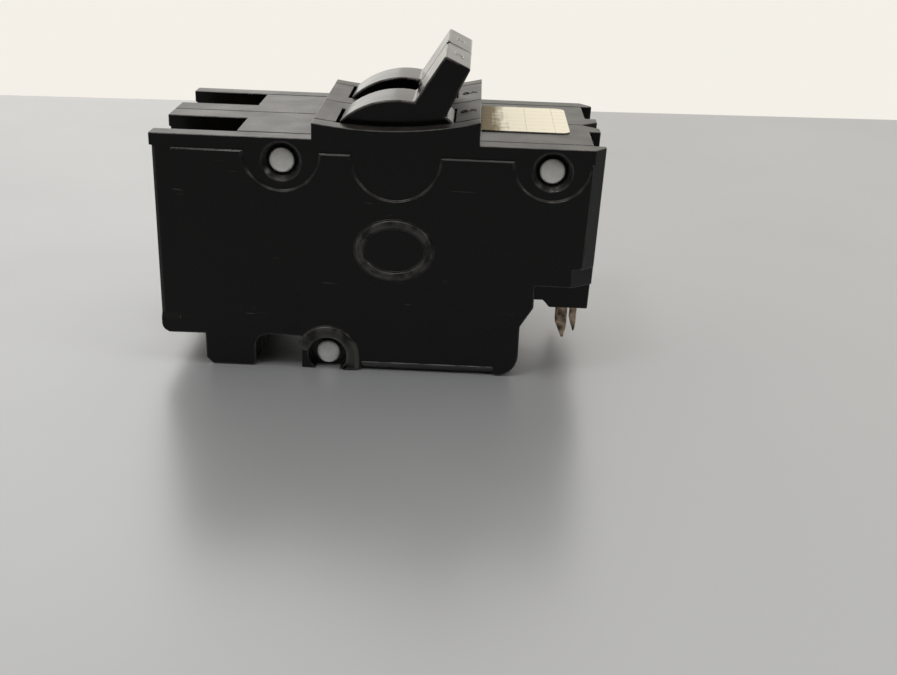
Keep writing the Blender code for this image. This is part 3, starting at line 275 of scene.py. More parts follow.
def moulded_black(name, black, roughness, dust_share):
    """Compression-moulded black thermoset: satin and faintly mottled, greyer where dust settles on
    upper faces, with rubbed streaks, paler worn edges, and raised rings painted paler, partly as wear
    and partly as a painted highlight."""
    looks = bpy.context.scene.breaker_case
    material, tree, coordinates = new_material(name)
    place = coordinates.outputs["Object"]
    mottle = add_node(
        tree, "ShaderNodeTexNoise", {"Vector": place, "Scale": 1 / MOTTLE, "Detail": 5})
    smear = add_node(
        tree, "ShaderNodeTexNoise", {"Vector": place, "Scale": 1 / SMEAR, "Detail": 6})
    along = add_node(
        tree, "ShaderNodeMapping",
        {"Vector": place, "Rotation": (0, math.radians(24), 0),
         "Scale": (1 / STREAK_LENGTH, 1 / STREAK_WIDTH, 1 / STREAK_WIDTH)})
    streak = add_node(tree, "ShaderNodeTexNoise", {"Vector": along, "Scale": 1, "Detail": 2})
    streaks = add_node(
        tree, "ShaderNodeMapRange",
        {"Value": streak, "From Min": 0.70, "From Max": 0.80, "To Max": 0.4})
    patches = add_node(
        tree, "ShaderNodeMapRange", {"Value": mottle, "From Min": 0.54, "From Max": 0.66})
    rubbed = add_node(tree, "ShaderNodeMath", {0: streaks, 1: patches}, operation="MULTIPLY")
    # This attribute holds worn edges, and on the raised rings a painted highlight as well
    edge = add_node(tree, "ShaderNodeAttribute", attribute_name=WEAR_AND_SHEEN)
    broken = add_node(
        tree, "ShaderNodeMapRange",
        {"Value": smear, "From Min": 0.40, "From Max": 0.58, "To Min": 0.12})
    worn = add_node(
        tree, "ShaderNodeMath", {0: edge.outputs["Fac"], 1: broken}, operation="MULTIPLY")
    wear_and_sheen = add_node(
        tree, "ShaderNodeMath", {0: rubbed, 1: worn}, operation="MAXIMUM", use_clamp=True)
    facing = add_node(tree, "ShaderNodeSeparateXYZ", {"Vector": coordinates.outputs["Normal"]})
    settled = add_node(
        tree, "ShaderNodeMapRange",
        {"Value": facing.outputs["Z"], "From Min": 0.5, "From Max": 1.0, "To Max": dust_share})
    dust = add_node(tree, "ShaderNodeMath", {0: settled, 1: smear}, operation="MULTIPLY")
    dusty = add_node(
        tree, "ShaderNodeMix", {FACTOR: dust, FIRST: black, SECOND: looks.dust}, data_type="RGBA")
    tint = add_node(
        tree, "ShaderNodeMix", {FACTOR: wear_and_sheen, FIRST: dusty, SECOND: looks.scuff_and_sheen}, data_type="RGBA")
    satin = add_node(
        tree, "ShaderNodeMapRange",
        {"Value": mottle, "From Min": 0.3, "From Max": 0.7,
         "To Min": roughness - 0.06, "To Max": roughness + 0.06})
    fine = add_node(
        tree, "ShaderNodeTexNoise", {"Vector": place, "Scale": 1 / looks.grain, "Detail": 3})
    bump = add_node(
        tree, "ShaderNodeBump", {"Height": fine, "Strength": 0.12, "Distance": 0.05 * MM})
    close_material(tree, {"Base Color": tint, "Roughness": satin, "Normal": bump, "IOR": 1.42})
    return material


def worked_metal(name, clean, dull, dull_share, roughness):
    """Bare or plated metal: bright, with duller cloudy patches and fine working marks."""
    material, tree, coordinates = new_material(name)
    place = coordinates.outputs["Object"]
    cloud = add_node(
        tree, "ShaderNodeTexNoise", {"Vector": place, "Scale": 1 / METAL_CLOUD, "Detail": 5})
    share = add_node(
        tree, "ShaderNodeMapRange",
        {"Value": cloud, "From Min": 0.36, "From Max": 0.64, "To Max": dull_share})
    tint = add_node(
        tree, "ShaderNodeMix", {FACTOR: share, FIRST: clean, SECOND: dull}, data_type="RGBA")
    rough = add_node(
        tree, "ShaderNodeMapRange",
        {"Value": cloud, "From Min": 0.3, "From Max": 0.7,
         "To Min": roughness - 0.05, "To Max": roughness + 0.12})
    marks = add_node(
        tree, "ShaderNodeTexNoise", {"Vector": place, "Scale": 1 / METAL_MARK, "Detail": 4})
    bump = add_node(
        tree, "ShaderNodeBump", {"Height": marks, "Strength": 0.15, "Distance": 0.05 * MM})
    close_material(tree, {"Base Color": tint, "Roughness": rough, "Normal": bump, "Metallic": 1.0})
    return material


def plain_skin(name, tint, roughness):
    """Moulded fibre or printed paint: one colour that clouds a little, with a fine grain."""
    material, tree, coordinates = new_material(name)
    place = coordinates.outputs["Object"]
    cloud = add_node(
        tree, "ShaderNodeTexNoise", {"Vector": place, "Scale": 1 / SKIN_CLOUD, "Detail": 4})
    darker = [part * 0.7 for part in tint[:3]] + [1]
    mixed = add_node(
        tree, "ShaderNodeMix", {FACTOR: cloud, FIRST: darker, SECOND: tint}, data_type="RGBA")
    fine = add_node(
        tree, "ShaderNodeTexNoise", {"Vector": place, "Scale": 1 / SKIN_GRAIN, "Detail": 3})
    bump = add_node(
        tree, "ShaderNodeBump", {"Height": fine, "Strength": 0.12, "Distance": 0.04 * MM})
    close_material(
        tree, {"Base Color": mixed, "Roughness": roughness, "Normal": bump, "IOR": 1.5})
    return material


def aged_paper(name):
    """A printed paper label: matt cream, stained brown beside the handle, with faded rules."""
    looks = bpy.context.scene.breaker_label
    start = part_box("top_label")[0].x
    material, tree, coordinates = new_material(name)
    place = coordinates.outputs["Object"]
    blotch = add_node(
        tree, "ShaderNodeTexNoise", {"Vector": place, "Scale": 1 / PAPER_BLOTCH, "Detail": 5})
    fibre = add_node(
        tree, "ShaderNodeTexNoise", {"Vector": place, "Scale": 1 / PAPER_FIBRE, "Detail": 4})
    where = add_node(tree, "ShaderNodeSeparateXYZ", {"Vector": place})
    across = add_node(
        tree, "ShaderNodeMapping",
        {"Vector": place,
         "Scale": (1 / STAIN_STREAK_WIDTH, 1 / STAIN_STREAK_LENGTH, 1 / STAIN_STREAK_LENGTH)})
    streak = add_node(tree, "ShaderNodeTexNoise", {"Vector": across, "Scale": 1, "Detail": 3})
    uneven = add_node(tree, "ShaderNodeMath", {0: blotch, 1: streak}, operation="ADD")
    ragged = add_node(
        tree, "ShaderNodeMath", {0: uneven, 1: looks.stain_length, 2: where.outputs["X"]},
        operation="MULTIPLY_ADD")
    # The two noises add about one stain length, so the stain fades between these multiples of it
    stained = add_node(
        tree, "ShaderNodeMapRange",
        {"Value": ragged, "From Min": start + 1.55 * looks.stain_length,
         "From Max": start + 2.25 * looks.stain_length, "To Min": 1.0, "To Max": 0.0})
    rules = add_node(
        tree, "ShaderNodeTexBrick",
        {"Vector": place, "Scale": 1.0, "Mortar Size": looks.rule / 2, "Mortar Smooth": 0.3,
         "Brick Width": looks.column, "Row Height": looks.row,
         "Color1": (0, 0, 0, 1), "Color2": (0, 0, 0, 1), "Mortar": (1, 1, 1, 1)},
        offset=0.0)
    faded = add_node(
        tree, "ShaderNodeMapRange",
        {"Value": fibre, "From Min": 0.35, "From Max": 0.65, "To Max": 0.75})
    printed = add_node(tree, "ShaderNodeMath", {0: rules, 1: faded}, operation="MULTIPLY")
    browned = add_node(
        tree, "ShaderNodeMix", {FACTOR: stained, FIRST: looks.paper, SECOND: looks.stain},
        data_type="RGBA")
    inked = add_node(
        tree, "ShaderNodeMix", {FACTOR: printed, FIRST: browned, SECOND: looks.ink},
        data_type="RGBA")
    bump = add_node(
        tree, "ShaderNodeBump", {"Height": fibre, "Strength": 0.25, "Distance": 0.05 * MM})
    close_material(tree, {"Base Color": inked, "Roughness": 0.7, "Normal": bump, "IOR": 1.45})
    return material


def material_for(slot):
    """The material of one of the record's slots, or of the paint, made once."""
    scene = bpy.context.scene
    case, handle, metal = scene.breaker_case, scene.breaker_handle, scene.breaker_metal
    makers = {
        # Phenolic from a satin mould: black that greys under dust
        "case_black": ("phenolic_moulded", moulded_black, case.black, 0.30, 0.20),
        # Thermoset from a polished mould: glossier than the case, and kept clean by hands
        "handle_black": ("thermoset_moulded", moulded_black, handle.black, 0.15, 0.06),
        # Headed and plated steel: pale domes with a soft shine
        "rivet_steel": (
            "steel_headed_plated", worked_metal, metal.rivet, metal.steel, 0.25, 0.46),
        # Stamped and zinc-plated steel: even grey, a little warmer in patches
        "plated_steel": (
            "steel_stamped_zinc_plated", worked_metal, metal.steel, metal.bimetal, 0.3, 0.36),
        # Rolled copper: dull, and mostly brown with oxide
        "copper": (
            "copper_rolled_tarnished", worked_metal, metal.copper, metal.tarnish, 0.9, 0.34),
        # Turned brass: warm and bright, with a little tarnish
        "brass": ("brass_turned", worked_metal, metal.brass, metal.tarnish, 0.25, 0.32),
        # Pressed silver alloy: pale and bright
        "contact_silver": (
            "silver_alloy_pressed", worked_metal, metal.silver, metal.steel, 0.4, 0.30),
        # Rolled bimetal: a dull, faintly yellow strip
        "bimetal": ("bimetal_rolled", worked_metal, metal.bimetal, metal.steel, 0.4, 0.38),
        # Moulded fibre: matt red-brown
        "trip_fibre": ("fibre_moulded", plain_skin, metal.fibre, 0.55),
        "label_paper": ("paper_printed_aged", aged_paper),
        # Printed enamel: flat off-white with a faint shine
        "paint": ("enamel_printed", plain_skin, handle.paint, 0.45),
    }
    name, maker, *looks = makers[slot]
    return bpy.data.materials.get(name) or maker(name, *looks)


# Pieces
def slot_of(node):
    subparts = frame["record"]["subparts"]
    return next(part["material_slot"] for part in subparts if part["node"] == node)


def body_of(node):
    bodies = frame["record"]["behaviour"]["bodies"]
    return next(body for body, nodes in bodies.items() if node in nodes)


def add_piece(name, mesh, node, slot=None, material=None, replaces=True):
    """Link a finished mesh that rides on a CAD node's body, in its place unless it is an addition."""
    slot = slot or slot_of(node)
    bmesh.ops.recalc_face_normals(mesh, faces=mesh.faces)
    data = bpy.data.meshes.new(name)
    mesh.to_mesh(data)
    mesh.free()
    data.materials.append(material or material_for(slot))
    data.shade_smooth()
    data.set_sharp_from_angle(angle=SMOOTH_ANGLE)
    for polygon in data.polygons:
        polygon.use_smooth = polygon.loop_total <= 4
    piece = bpy.data.objects.new(name, data)
    bpy.context.scene.collection.objects.link(piece)
    weighted = piece.modifiers.new("weighted_normals", "WEIGHTED_NORMAL")
    weighted.keep_sharp = True
    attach(piece, body_of(node))
    if replaces:
        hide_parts(node)


def node_mesh(node):
    """A CAD node's mesh, welded, with flat triangles merged and the shortest edges closed."""
    mesh = bmesh.new()
    mesh.faces.layers.float.new(WEAR_AND_SHEEN)
    mesh.from_mesh(frame["nodes"][node].data)
    bmesh.ops.remove_doubles(mesh, verts=mesh.verts, dist=WELD)
    bmesh.ops.dissolve_limit(mesh, angle_limit=FLAT_ANGLE, verts=mesh.verts, edges=mesh.edges)
    bmesh.ops.dissolve_degenerate(mesh, dist=SHORT_EDGE, edges=mesh.edges)
    return mesh


def round_edges(mesh, node, rounds):
    """Round the edges that each (test, radius, segments, wear) picks, within the CAD node's box."""
    wear_and_sheen = mesh.faces.layers.float[WEAR_AND_SHEEN]
    for test, radius, segments, worn in rounds:
        picked = [edge for edge in mesh.edges if edge.is_manifold and test(edge)]
        made = bmesh.ops.bevel(
            mesh, geom=picked, offset=radius, offset_type="OFFSET", segments=segments, profile=0.5,
            affect="EDGES", clamp_overlap=False)
        for face in made["faces"]:
            face[wear_and_sheen] = worn
    low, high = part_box(node)
    for vert in mesh.verts:
        vert.co = [min(max(vert.co[i], low[i]), high[i]) for i in range(3)]


def is_sharp(edge):
    return edge.calc_face_angle() > SHARP_ANGLE


def lies_at(edge, depth):
    """Whether both ends of an edge are this far from the plane between the poles."""
    return all(abs(abs(vert.co.y) - depth) < 2 * WELD for vert in edge.verts)


def add_rounded(node, radius, segments=2):
    """A CAD node with all its sharp edges rounded alike."""
    mesh = node_mesh(node)
    round_edges(mesh, node, [(is_sharp, radius, segments, EDGE_WEAR)])
    add_piece(f"{node}_finished", mesh, node)


def seam_of(node):
    """How far a half's inner face is from the plane between the poles."""
    return min(abs(corner.y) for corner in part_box(node))


def close_seam(mesh, node):
    """Draw a half's inner face up to the plane between the poles, so that no light shows through."""
    seam = seam_of(node)
    for vert in mesh.verts:
        if abs(vert.co.y) < seam + WELD:
            vert.co.y = 0


def lettering(words, height, relief):
    """Words around the origin in the XY plane, this far above it and below it."""
    curve = bpy.data.curves.new("lettering", "FONT")
    curve.body = words
    curve.extrude = 1
    item = bpy.data.objects.new("lettering", curve)
    bpy.context.scene.collection.objects.link(item)
    graph = bpy.context.evaluated_depsgraph_get()
    mesh = bmesh.new()
    mesh.from_mesh(bpy.data.meshes.new_from_object(item.evaluated_get(graph)))
    bpy.data.objects.remove(item)
    bmesh.ops.remove_doubles(mesh, verts=mesh.verts, dist=FONT_WELD)
    low = Vector([min(vert.co[i] for vert in mesh.verts) for i in range(3)])
    high = Vector([max(vert.co[i] for vert in mesh.verts) for i in range(3)])
    scale = height / (high.y - low.y)
    sizes = Matrix.Diagonal((scale, scale, 2 * relief / (high.z - low.z), 1))
    mesh.transform(sizes @ Matrix.Translation(-(low + high) / 2))
    return mesh


def set_on_face(mesh, place, normal, baseline):
    """Lay words on a face, half sunk into it."""
    turn = Matrix((baseline, normal.cross(baseline), normal)).transposed().to_4x4()
    mesh.transform(Matrix.Translation(place) @ turn)


# Operators
class BREAKER_OT_shells(bpy.types.Operator):
    """Round the bases and covers, from the raised rings to the rubbed lower edge"""
    bl_idname = "breaker.shells"
    bl_label = "Case shells"

    # Rounded profile of a raised ring, as steps of (share inward, share upward)
    crown = ((0.12, 0.44), (0.23, 0.34), (0.33, 0.17), (0.32, 0.05))
    crown_width = 0.85 * MM
    crown_height = 0.48 * MM

    # Overhang of the terminal end's lip, and how far in from it the end is stretched
    lip = 1.1 * MM
    stretch = 6 * MM

    # Least share of a normal along an axis: of the flat outer faces, of faces that look squarely
    # along it, of the notch between the poles and of the chamfer on the lower edge
    outer_share = 0.999
    square_share = 0.9
    notch_share = 0.3
    chamfer_share = 0.2

    # Shortest edges at the bottom, beside the sunk strip and on top of the panel
    lower_run = 5 * MM
    strip_run = 20 * MM
    top_run = 4 * MM

    # How far from the terminal end the strip's outer edge is at most
    strip_side = 2 * MM

    # Reach of the foot ring in widths of its rivet, and of a counterbore in radii of its rivet
    foot_reach = 1.6
    bore_reach = 2

    # How far a counterbore's floor is below the band around the panel at least
    bore_drop = 1 * MM

    def execute(self, context):
        looks = context.scene.breaker_case
        for pole, side in SIDES.items():
            self.add_base(f"base_{pole}", side, looks)
            self.add_cover(f"cover_{pole}", side, looks)
        return {"FINISHED"}

    def add_base(self, node, side, looks):
        mesh = node_mesh(node)
        inside = seam_of(node)
        outside = max(abs(corner.y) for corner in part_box(node))
        self.draw_out_end(mesh, node, looks.end_reach)
        notch = [face for face in mesh.faces
                 if face.normal.x > self.notch_share and face.normal.y * side < -self.notch_share]
        for vert in {vert for face in notch for vert in face.verts}:
            vert.co.y = side * (inside + looks.notch_flare * (abs(vert.co.y) - inside))

        def on_seam(edge):
            return is_sharp(edge) and lies_at(edge, outside)

        round_edges(mesh, node, [
            (on_seam, looks.seam_round, 3, CLEAN),
            (is_sharp, looks.edge_round, 2, EDGE_WEAR),
        ])
        close_seam(mesh, node)
        add_piece(f"{node}_finished", mesh, node)

    def add_cover(self, node, side, looks):
        mesh = node_mesh(node)
        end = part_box(node)[0].x
        self.draw_out_end(mesh, node, looks.end_reach)
        outward = [face for face in mesh.faces if face.normal.y * side > self.outer_share]
        depths = {face: round(face.calc_center_median().y * side, 5) for face in outward}
        crest, panel, band = sorted(set(depths.values()), reverse=True)[:3]
        strip = [vert for vert in mesh.verts
                 if vert.co.x < end + looks.strip_reach and abs(abs(vert.co.y) - band) < WELD]
        strip_foot = min(vert.co.z for vert in strip) + WELD
        for vert in strip:
            if vert.co.z < strip_foot:
                vert.co.z += looks.strip_ramp
        low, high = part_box(RIVETS[-1])
        foot, foot_radius = (low + high) / 2, self.foot_reach * (high.x - low.x)

        def on_lower_edge(edge):
            slants = min(face.normal.z for face in edge.link_faces) < -self.chamfer_share
            blunt = BLUNT_ANGLE < edge.calc_face_angle() < SHARP_ANGLE
            return slants and blunt and edge.calc_length() > self.lower_run

        def in_strip(edge):
            return all(vert.co.x < end + looks.strip_reach for vert in edge.verts)

        def at_foot(edge):
            spots = [vert.co - foot for vert in edge.verts]
            return all(math.hypot(spot.x, spot.z) < foot_radius for spot in spots)

        def on_strip_edge(edge):
            beside = edge.verts[0].co.x < end + self.strip_side
            long = edge.calc_length() > self.strip_run
            faces_end = any(abs(face.normal.x) > self.square_share for face in edge.link_faces)
            at_band = in_strip(edge) and lies_at(edge, band)
            return is_sharp(edge) and at_band and long and faces_end and beside

        def on_panel(edge):
            inner = not in_strip(edge) and not at_foot(edge)
            return is_sharp(edge) and lies_at(edge, panel) and inner

        def on_panel_top(edge):
            faces_up = any(face.normal.z > self.square_share for face in edge.link_faces)
            return on_panel(edge) and edge.calc_length() > self.top_run and faces_up

        def on_other_edge(edge):
            long = edge.calc_length() > self.strip_run
            beside_strip = in_strip(edge) and lies_at(edge, panel) and long
            return is_sharp(edge) and not beside_strip

        for rivet in RIVETS[:-1]:
            self.taper_bore(mesh, rivet, band, looks)
        self.crown_rings(mesh, [face for face, depth in depths.items() if depth == crest], side)
        round_edges(mesh, node, [
            (on_lower_edge, looks.worn_round, 2, RUBBED),
            (on_strip_edge, looks.strip_bevel, 1, CLEAN),
            (on_panel_top, looks.panel_top_round, 3, CLEAN),
            (on_panel, looks.panel_round, 4, PANEL_WEAR),
            (on_other_edge, looks.edge_round, 2, COVER_WEAR),
        ])
        add_piece(f"{node}_finished", mesh, node)

    def draw_out_end(self, mesh, node, reach):
        """Stretch the terminal end outward below its lip, most at the end itself."""
        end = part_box(node)[0].x + self.lip
        under_lip = max(vert.co.z for vert in mesh.verts if abs(vert.co.x - end) < WELD)
        for vert in mesh.verts:
            if vert.co.x > end - WELD and vert.co.z < under_lip + WELD:
                vert.co.x -= reach * max(0, 1 - (vert.co.x - end) / self.stretch)

    def taper_bore(self, mesh, rivet, band, looks):
        """Draw a counterbore in, most at its floor, so that its wall slopes and catches light."""
        low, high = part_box(rivet)
        axis = (low + high) / 2
        head = (high.x - low.x) / 2
        for vert in mesh.verts:
            across = Vector((vert.co.x - axis.x, vert.co.z - axis.z))
            in_bore = head < across.length < self.bore_reach * head
            if in_bore and abs(vert.co.y) < band + WELD:
                on_floor = abs(vert.co.y) < band - self.bore_drop
                across = across.normalized() * (looks.bore_floor if on_floor else looks.bore_rim)
                vert.co.x, vert.co.z = axis.x + across.x, axis.z + across.y

    def crown_rings(self, mesh, faces, side):
        """Turn the flat tops of the raised rings into rounded ridges of the same height, painted
        paler, partly as wear and partly as a painted highlight.
        """
        for vert in {vert for face in faces for vert in face.verts}:
            vert.co.y -= side * self.crown_height
        wear_and_sheen = mesh.faces.layers.float[WEAR_AND_SHEEN]
        for inward, upward in self.crown:
            made = bmesh.ops.inset_region(
                mesh, faces=faces, thickness=inward * self.crown_width,
                depth=upward * self.crown_height, use_even_offset=True, use_boundary=True)
            # The ridge's sides and top are painted paler, partly as wear and partly as a painted
            # highlight
            for face in made["faces"]:
                face[wear_and_sheen] = RING_SIDE_WEAR_AND_SHEEN
        for face in faces:
            face[wear_and_sheen] = RING_TOP_WEAR_AND_SHEEN


class BREAKER_OT_handle(bpy.types.Operator):
    """Round the two handle halves and their tie pin"""
    bl_idname = "breaker.handle"
    bl_label = "Handle"

    # Least share of the raised side's normal along the case
    raised_share = 0.5

    def execute(self, context):
        looks = context.scene.breaker_handle
        for pole in SIDES:
            self.add_half(f"handle_{pole}", looks)
        add_rounded("handle_tie_pin", context.scene.breaker_metal.edge_round)
        return {"FINISHED"}

    def add_half(self, node, looks):
        mesh = node_mesh(node)
        seam = seam_of(node)
        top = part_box("base_near")[1].z

        def on_seam(edge):
            on_lever = any(vert.co.z > top for vert in edge.verts)
            return is_sharp(edge) and lies_at(edge, seam) and on_lever

        def on_raised_side(edge):
            raised = any(face.normal.x < -self.raised_share for face in edge.link_faces)
            return on_seam(edge) and raised

        round_edges(mesh, node, [
            (on_raised_side, looks.seam_round, 4, CLEAN),
            (on_seam, looks.tip_round, 3, CLEAN),
            (is_sharp, looks.edge_round, 3, EDGE_WEAR),
        ])
        close_seam(mesh, node)
        add_piece(f"{node}_finished", mesh, node)


class BREAKER_OT_marks(bpy.types.Operator):
    """Raise ON beside each handle half and print the rating on its lever end"""
    bl_idname = "breaker.marks"
    bl_label = "Marks"

    def execute(self, context):
        looks = context.scene.breaker_handle
        for pole in SIDES:
            self.add_rating(pole, looks)
            self.add_word(pole, looks)
        return {"FINISHED"}

    def add_rating(self, pole, looks):
        node = f"handle_{pole}"
        solid = node_mesh(node)
        end = max(solid.faces, key=lambda face: face.calc_center_bounds().z)
        mesh = lettering(looks.rating, looks.figure_height, looks.paint_relief)
        set_on_face(mesh, end.calc_center_bounds(), end.normal, Vector((0, 1, 0)))
        solid.free()
        paint = material_for("paint")
        add_piece(f"rating_{pole}", mesh, node, "label_paper", paint, replaces=False)

    def add_word(self, pole, looks):
        """ON beside the drum, on the side that the lever leans to, read from the near side."""
        node = f"base_{pole}"
        solid = node_mesh(node)
        surface = BVHTree.FromBMesh(solid)
        solid.free()
        low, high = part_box(node)
        joints = frame["record"]["behaviour"]["joints"]
        pivot = Vector(next(joint["pos_m"] for joint in joints if joint["name"] == "handle_swing"))
        above = Vector((pivot.x + looks.mark_reach, (low.y + high.y) / 2, high.z + MM))
        place, normal, _, _ = surface.ray_cast(above, Vector((0, 0, -1)))
        mesh = lettering("ON", looks.mark_height, looks.mark_relief)
        set_on_face(mesh, place, normal, Vector((0, 1, 0)).cross(normal))
        add_piece(f"on_{pole}", mesh, node, replaces=False)


class BREAKER_OT_rivets(bpy.types.Operator):
    """Turn the three rivets with domed heads"""
    bl_idname = "breaker.rivets"
    bl_label = "Rivets"
    sides = 48
    dome_steps = 7

    # A head's straight rim is its height over this
    rim_part = 3

    def execute(self, context):
        looks = context.scene.breaker_metal
        for node in RIVETS:
            low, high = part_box(node)
            radius = (high.x - low.x) / 2
            seat = high.y - looks.rivet_head
            rim = seat + looks.rivet_head / self.rim_part
            half = [(looks.rivet_shank, seat), (radius, seat)]
            for i in range(self.dome_steps + 1):
                angle = i / self.dome_steps * math.pi / 2
                half.append((radius * math.cos(angle), rim + (high.y - rim) * math.sin(angle)))
            profile = [(r, -depth) for r, depth in reversed(half)] + half
            add_piece(f"{node}_finished", self.turn(profile, (low + high) / 2), node)
        return {"FINISHED"}

    def turn(self, profile, middle):
        """A solid turned about a line along Y, from (radius, depth) pairs that end on the axis."""
        mesh = bmesh.new()
        angles = [2 * math.pi * i / self.sides for i in range(self.sides)]
        rings = []
        for radius, depth in profile:
            points = [(middle.x + radius * math.cos(angle), depth,
                       middle.z + radius * math.sin(angle)) for angle in angles]
            rings.append([mesh.verts.new(point) for point in points])
        for before, after in zip(rings, rings[1:]):
            for i in range(self.sides):
                mesh.faces.new((before[i - 1], before[i], after[i], after[i - 1]))
        bmesh.ops.remove_doubles(mesh, verts=mesh.verts, dist=WELD)
        return mesh


class BREAKER_OT_label(bpy.types.Operator):
    """Soften the paper label's edges"""
    bl_idname = "breaker.label"
    bl_label = "Label"

    def execute(self, context):
        add_rounded("top_label", context.scene.breaker_label.edge_round)
        return {"FINISHED"}


class BREAKER_OT_stabs(bpy.types.Operator):
    """Round the copper stabs"""
    bl_idname = "breaker.stabs"
    bl_label = "Line stabs"

    def execute(self, context):
        for pole in SIDES:
            add_rounded(f"line_stab_{pole}", context.scene.breaker_metal.edge_round)
        return {"FINISHED"}


class BREAKER_OT_terminals(bpy.types.Operator):
    """Round the wire terminals and wind a thread on their screws"""
    bl_idname = "breaker.terminals"
    bl_label = "Wire terminals"

    # Steps in a turn of the thread, bare turns at each end and turns over which it fades
    steps = 24
    bare_turns = 0.7
    fade_turns = 0.5

    # Half the ridge's width in pitches, and how far its foot is sunk into the shank
    half_width = 0.42
    foot_sink = 0.05 * MM

    def execute(self, context):
        looks = context.scene.breaker_metal
        for pole in SIDES:
            for piece in ("load_strap", "terminal_bracket", "pressure_plate", "terminal_screw"):
                add_rounded(f"{piece}_{pole}", looks.edge_round)
            self.add_thread(f"terminal_screw_{pole}", f"thread_{pole}", looks)
        return {"FINISHED"}

    def add_thread(self, node, name, looks):
        """A helical ridge on the screw's shank, fading out near its tip and under its head."""
        low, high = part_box(node)
        middle = (low + high) / 2
        corners = [(math.hypot(vert.co.x - middle.x, vert.co.y - middle.y), vert.co.z)
                   for vert in frame["nodes"][node].data.vertices]
        shank = max(radius for radius, height in corners if height < low.z + WELD)
        under_head = min(height for radius, height in corners if radius > shank + WELD)
        turns = (under_head - low.z) / looks.thread_pitch - 2 * self.bare_turns
        count = int(turns * self.steps)
        half = Vector((0, 0, self.half_width * looks.thread_pitch))
        mesh = bmesh.new()
        rings = []
        for i in range(count + 1):
            angle = 2 * math.pi * i / self.steps
            across = Vector((math.cos(angle), math.sin(angle), 0))
            height = low.z + looks.thread_pitch * (self.bare_turns + i / self.steps)
            axis = Vector((middle.x, middle.y, height))
            fade = min(1, min(i, count - i) / self.steps / self.fade_turns)
            foot = axis + across * (shank - self.foot_sink)
            peak = axis + across * (shank + looks.thread_height * fade)
            rings.append([mesh.verts.new(point) for point in (foot - half, peak, foot + half)])
        for before, after in zip(rings, rings[1:]):
            for i in range(3):
                mesh.faces.new((before[i - 1], before[i], after[i], after[i - 1]))
        mesh.faces.new(rings[0])
        mesh.faces.new(rings[-1])
        add_piece(name, mesh, node, replaces=False)


class BREAKER_OT_mechanism(bpy.types.Operator):
    """Give every CAD solid its material, for the sealed pieces that stay as they are"""
    bl_idname = "breaker.mechanism"
    bl_label = "Mechanism"

    def execute(self, context):
        for node, item in frame["nodes"].items():
            item.data.materials.clear()
            item.data.materials.append(material_for(slot_of(node)))
        return {"FINISHED"}


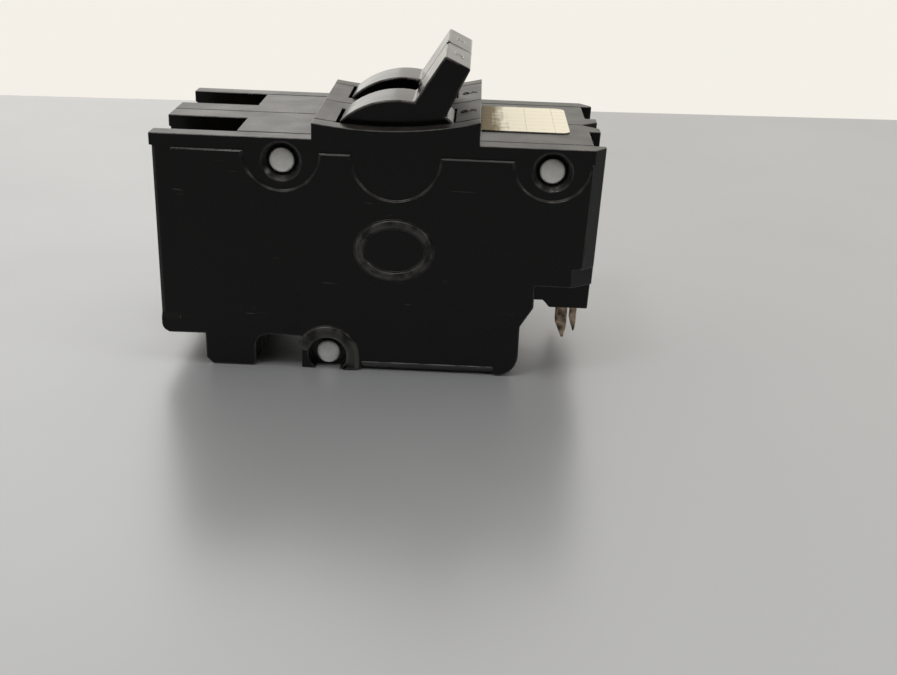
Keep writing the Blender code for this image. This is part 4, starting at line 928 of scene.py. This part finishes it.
class BREAKER_OT_stage(bpy.types.Operator):
    """Floor, soft light and the camera at the photograph's angle"""
    bl_idname = "breaker.stage"
    bl_label = "Stage"

    # Each lamp's name, place, size in metres and power in watts
    lamps = (
        ("window_back", (-0.45, 0.88, 0.36), 0.8, 0.75),
        ("ceiling_right", (0.085, -0.04, 0.75), 0.15, 0.8),
        ("ceiling_left", (-0.19, -0.23, 0.69), 0.12, 0.8),
        ("lamp_right", (0.55, -0.15, 0.42), 0.12, 0.7),
    )

    # Slope of the floor's far edge, and the direction in which the room is brightest
    floor_skew = 0.063
    bright_side = (-0.35, 0.70, 0.62)

    def execute(self, context):
        scene = context.scene
        scene.view_settings.view_transform = "Standard"
        self.add_floor(scene)
        self.add_world(scene)
        for lamp in self.lamps:
            self.add_lamp(scene, *lamp)
        self.add_camera(scene)
        return {"FINISHED"}

    def add_floor(self, scene):
        """A pale satin sheet whose far edge runs a little askew, as in the photograph."""
        looks = scene.breaker_stage
        side = looks.floor_side
        rise = self.floor_skew * side
        corners = [(-side, -side), (side, -side),
                   (side, looks.floor_reach + rise), (-side, looks.floor_reach - rise)]
        mesh = bmesh.new()
        mesh.faces.new([mesh.verts.new((x, y, 0)) for x, y in corners])
        data = bpy.data.meshes.new("floor")
        mesh.to_mesh(data)
        mesh.free()
        data.materials.append(self.floor_material(looks))
        floor = bpy.data.objects.new("floor", data)
        scene.collection.objects.link(floor)

    def floor_material(self, looks):
        """Pale lacquered metal: bright toward the far light, with a soft reflection of the part."""
        material, tree, coordinates = new_material("metal_lacquered_pale")
        cloud = add_node(
            tree, "ShaderNodeTexNoise",
            {"Vector": coordinates.outputs["Object"], "Scale": 1 / FLOOR_CLOUD, "Detail": 3})
        satin = add_node(
            tree, "ShaderNodeMapRange",
            {"Value": cloud, "From Min": 0.3, "From Max": 0.7, "To Min": 0.29, "To Max": 0.35})
        close_material(tree, {"Base Color": looks.floor, "Roughness": satin, "Metallic": 0.5})
        return material

    def add_world(self, scene):
        """A pale room, brighter behind, above and to the left of the part than in front of it."""
        world = bpy.data.worlds.new("pale_room")
        scene.world = world
        world.use_nodes = True
        tree = world.node_tree
        tree.nodes.clear()
        coordinates = add_node(tree, "ShaderNodeTexCoord")
        toward = add_node(
            tree, "ShaderNodeVectorMath",
            {0: coordinates.outputs["Generated"], 1: self.bright_side}, operation="DOT_PRODUCT")
        share = add_node(
            tree, "ShaderNodeMapRange",
            {"Value": toward.outputs["Value"], "From Min": -0.05, "From Max": 0.36,
             "To Min": 0.05, "To Max": 1.0})
        tint = add_node(
            tree, "ShaderNodeMix",
            {FACTOR: share, FIRST: (0, 0, 0, 1), SECOND: scene.breaker_stage.wall},
            data_type="RGBA")
        sky = add_node(tree, "ShaderNodeBackground", {"Color": tint, "Strength": 1.0})
        add_node(tree, "ShaderNodeOutputWorld", {"Surface": sky})

    def add_lamp(self, scene, name, place, size, power):
        """A square lamp that faces the part's origin."""
        data = bpy.data.lights.new(name, "AREA")
        data.size = size
        data.energy = power
        lamp = bpy.data.objects.new(name, data)
        lamp.location = place
        lamp.rotation_euler = (-Vector(place)).to_track_quat("-Z", "Y").to_euler()
        scene.collection.objects.link(lamp)

    def add_camera(self, scene):
        """The photograph's viewing angle, with its slight roll."""
        data = bpy.data.cameras.new("photo_angle")
        data.sensor_width = CAMERA_SENSOR
        data.lens = data.sensor_width * FOCAL_PIXELS / IMAGE_WIDTH
        data.clip_start = CAMERA_CLIP
        forward = Vector((math.sin(CAMERA_YAW) * math.cos(CAMERA_PITCH),
                          math.cos(CAMERA_YAW) * math.cos(CAMERA_PITCH), -math.sin(CAMERA_PITCH)))
        right = Vector((math.cos(CAMERA_YAW), -math.sin(CAMERA_YAW), 0))
        up = right.cross(forward)
        rolled_right = right * math.cos(CAMERA_ROLL) + up * math.sin(CAMERA_ROLL)
        rolled_up = up * math.cos(CAMERA_ROLL) - right * math.sin(CAMERA_ROLL)
        turn = Matrix((rolled_right, rolled_up, -forward)).transposed().to_4x4()
        camera = bpy.data.objects.new("camera", data)
        camera.matrix_world = Matrix.Translation(CAMERA_PLACE) @ turn
        scene.collection.objects.link(camera)
        scene.camera = camera


OPERATORS = (
    BREAKER_OT_shells,
    BREAKER_OT_handle,
    BREAKER_OT_marks,
    BREAKER_OT_rivets,
    BREAKER_OT_label,
    BREAKER_OT_stabs,
    BREAKER_OT_terminals,
    BREAKER_OT_mechanism,
    BREAKER_OT_stage,
)


class BREAKER_PT_panel(bpy.types.Panel):
    """The breaker's steps and settings"""
    bl_idname = "BREAKER_PT_panel"
    bl_label = "Circuit breaker"
    bl_space_type = "VIEW_3D"
    bl_region_type = "UI"
    bl_category = "Breaker"

    def draw(self, context):
        for operator in OPERATORS:
            self.layout.operator(operator.bl_idname)
        for name, group in GROUPS.items():
            box = self.layout.box()
            for setting in group.__annotations__:
                box.prop(getattr(context.scene, name), setting)


CLASSES = (*GROUPS.values(), *OPERATORS, BREAKER_PT_panel)


def register():
    for item in CLASSES:
        bpy.utils.register_class(item)
    for name, group in GROUPS.items():
        setattr(bpy.types.Scene, name, bpy.props.PointerProperty(type=group))


def unregister():
    for name in GROUPS:
        delattr(bpy.types.Scene, name)
    for item in reversed(CLASSES):
        bpy.utils.unregister_class(item)


def main():
    register()
    bpy.ops.breaker.shells()
    bpy.ops.breaker.handle()
    bpy.ops.breaker.marks()
    bpy.ops.breaker.rivets()
    bpy.ops.breaker.label()
    bpy.ops.breaker.stabs()
    bpy.ops.breaker.terminals()
    bpy.ops.breaker.mechanism()
    bpy.ops.breaker.stage()


if __name__ == "__main__":
    main()
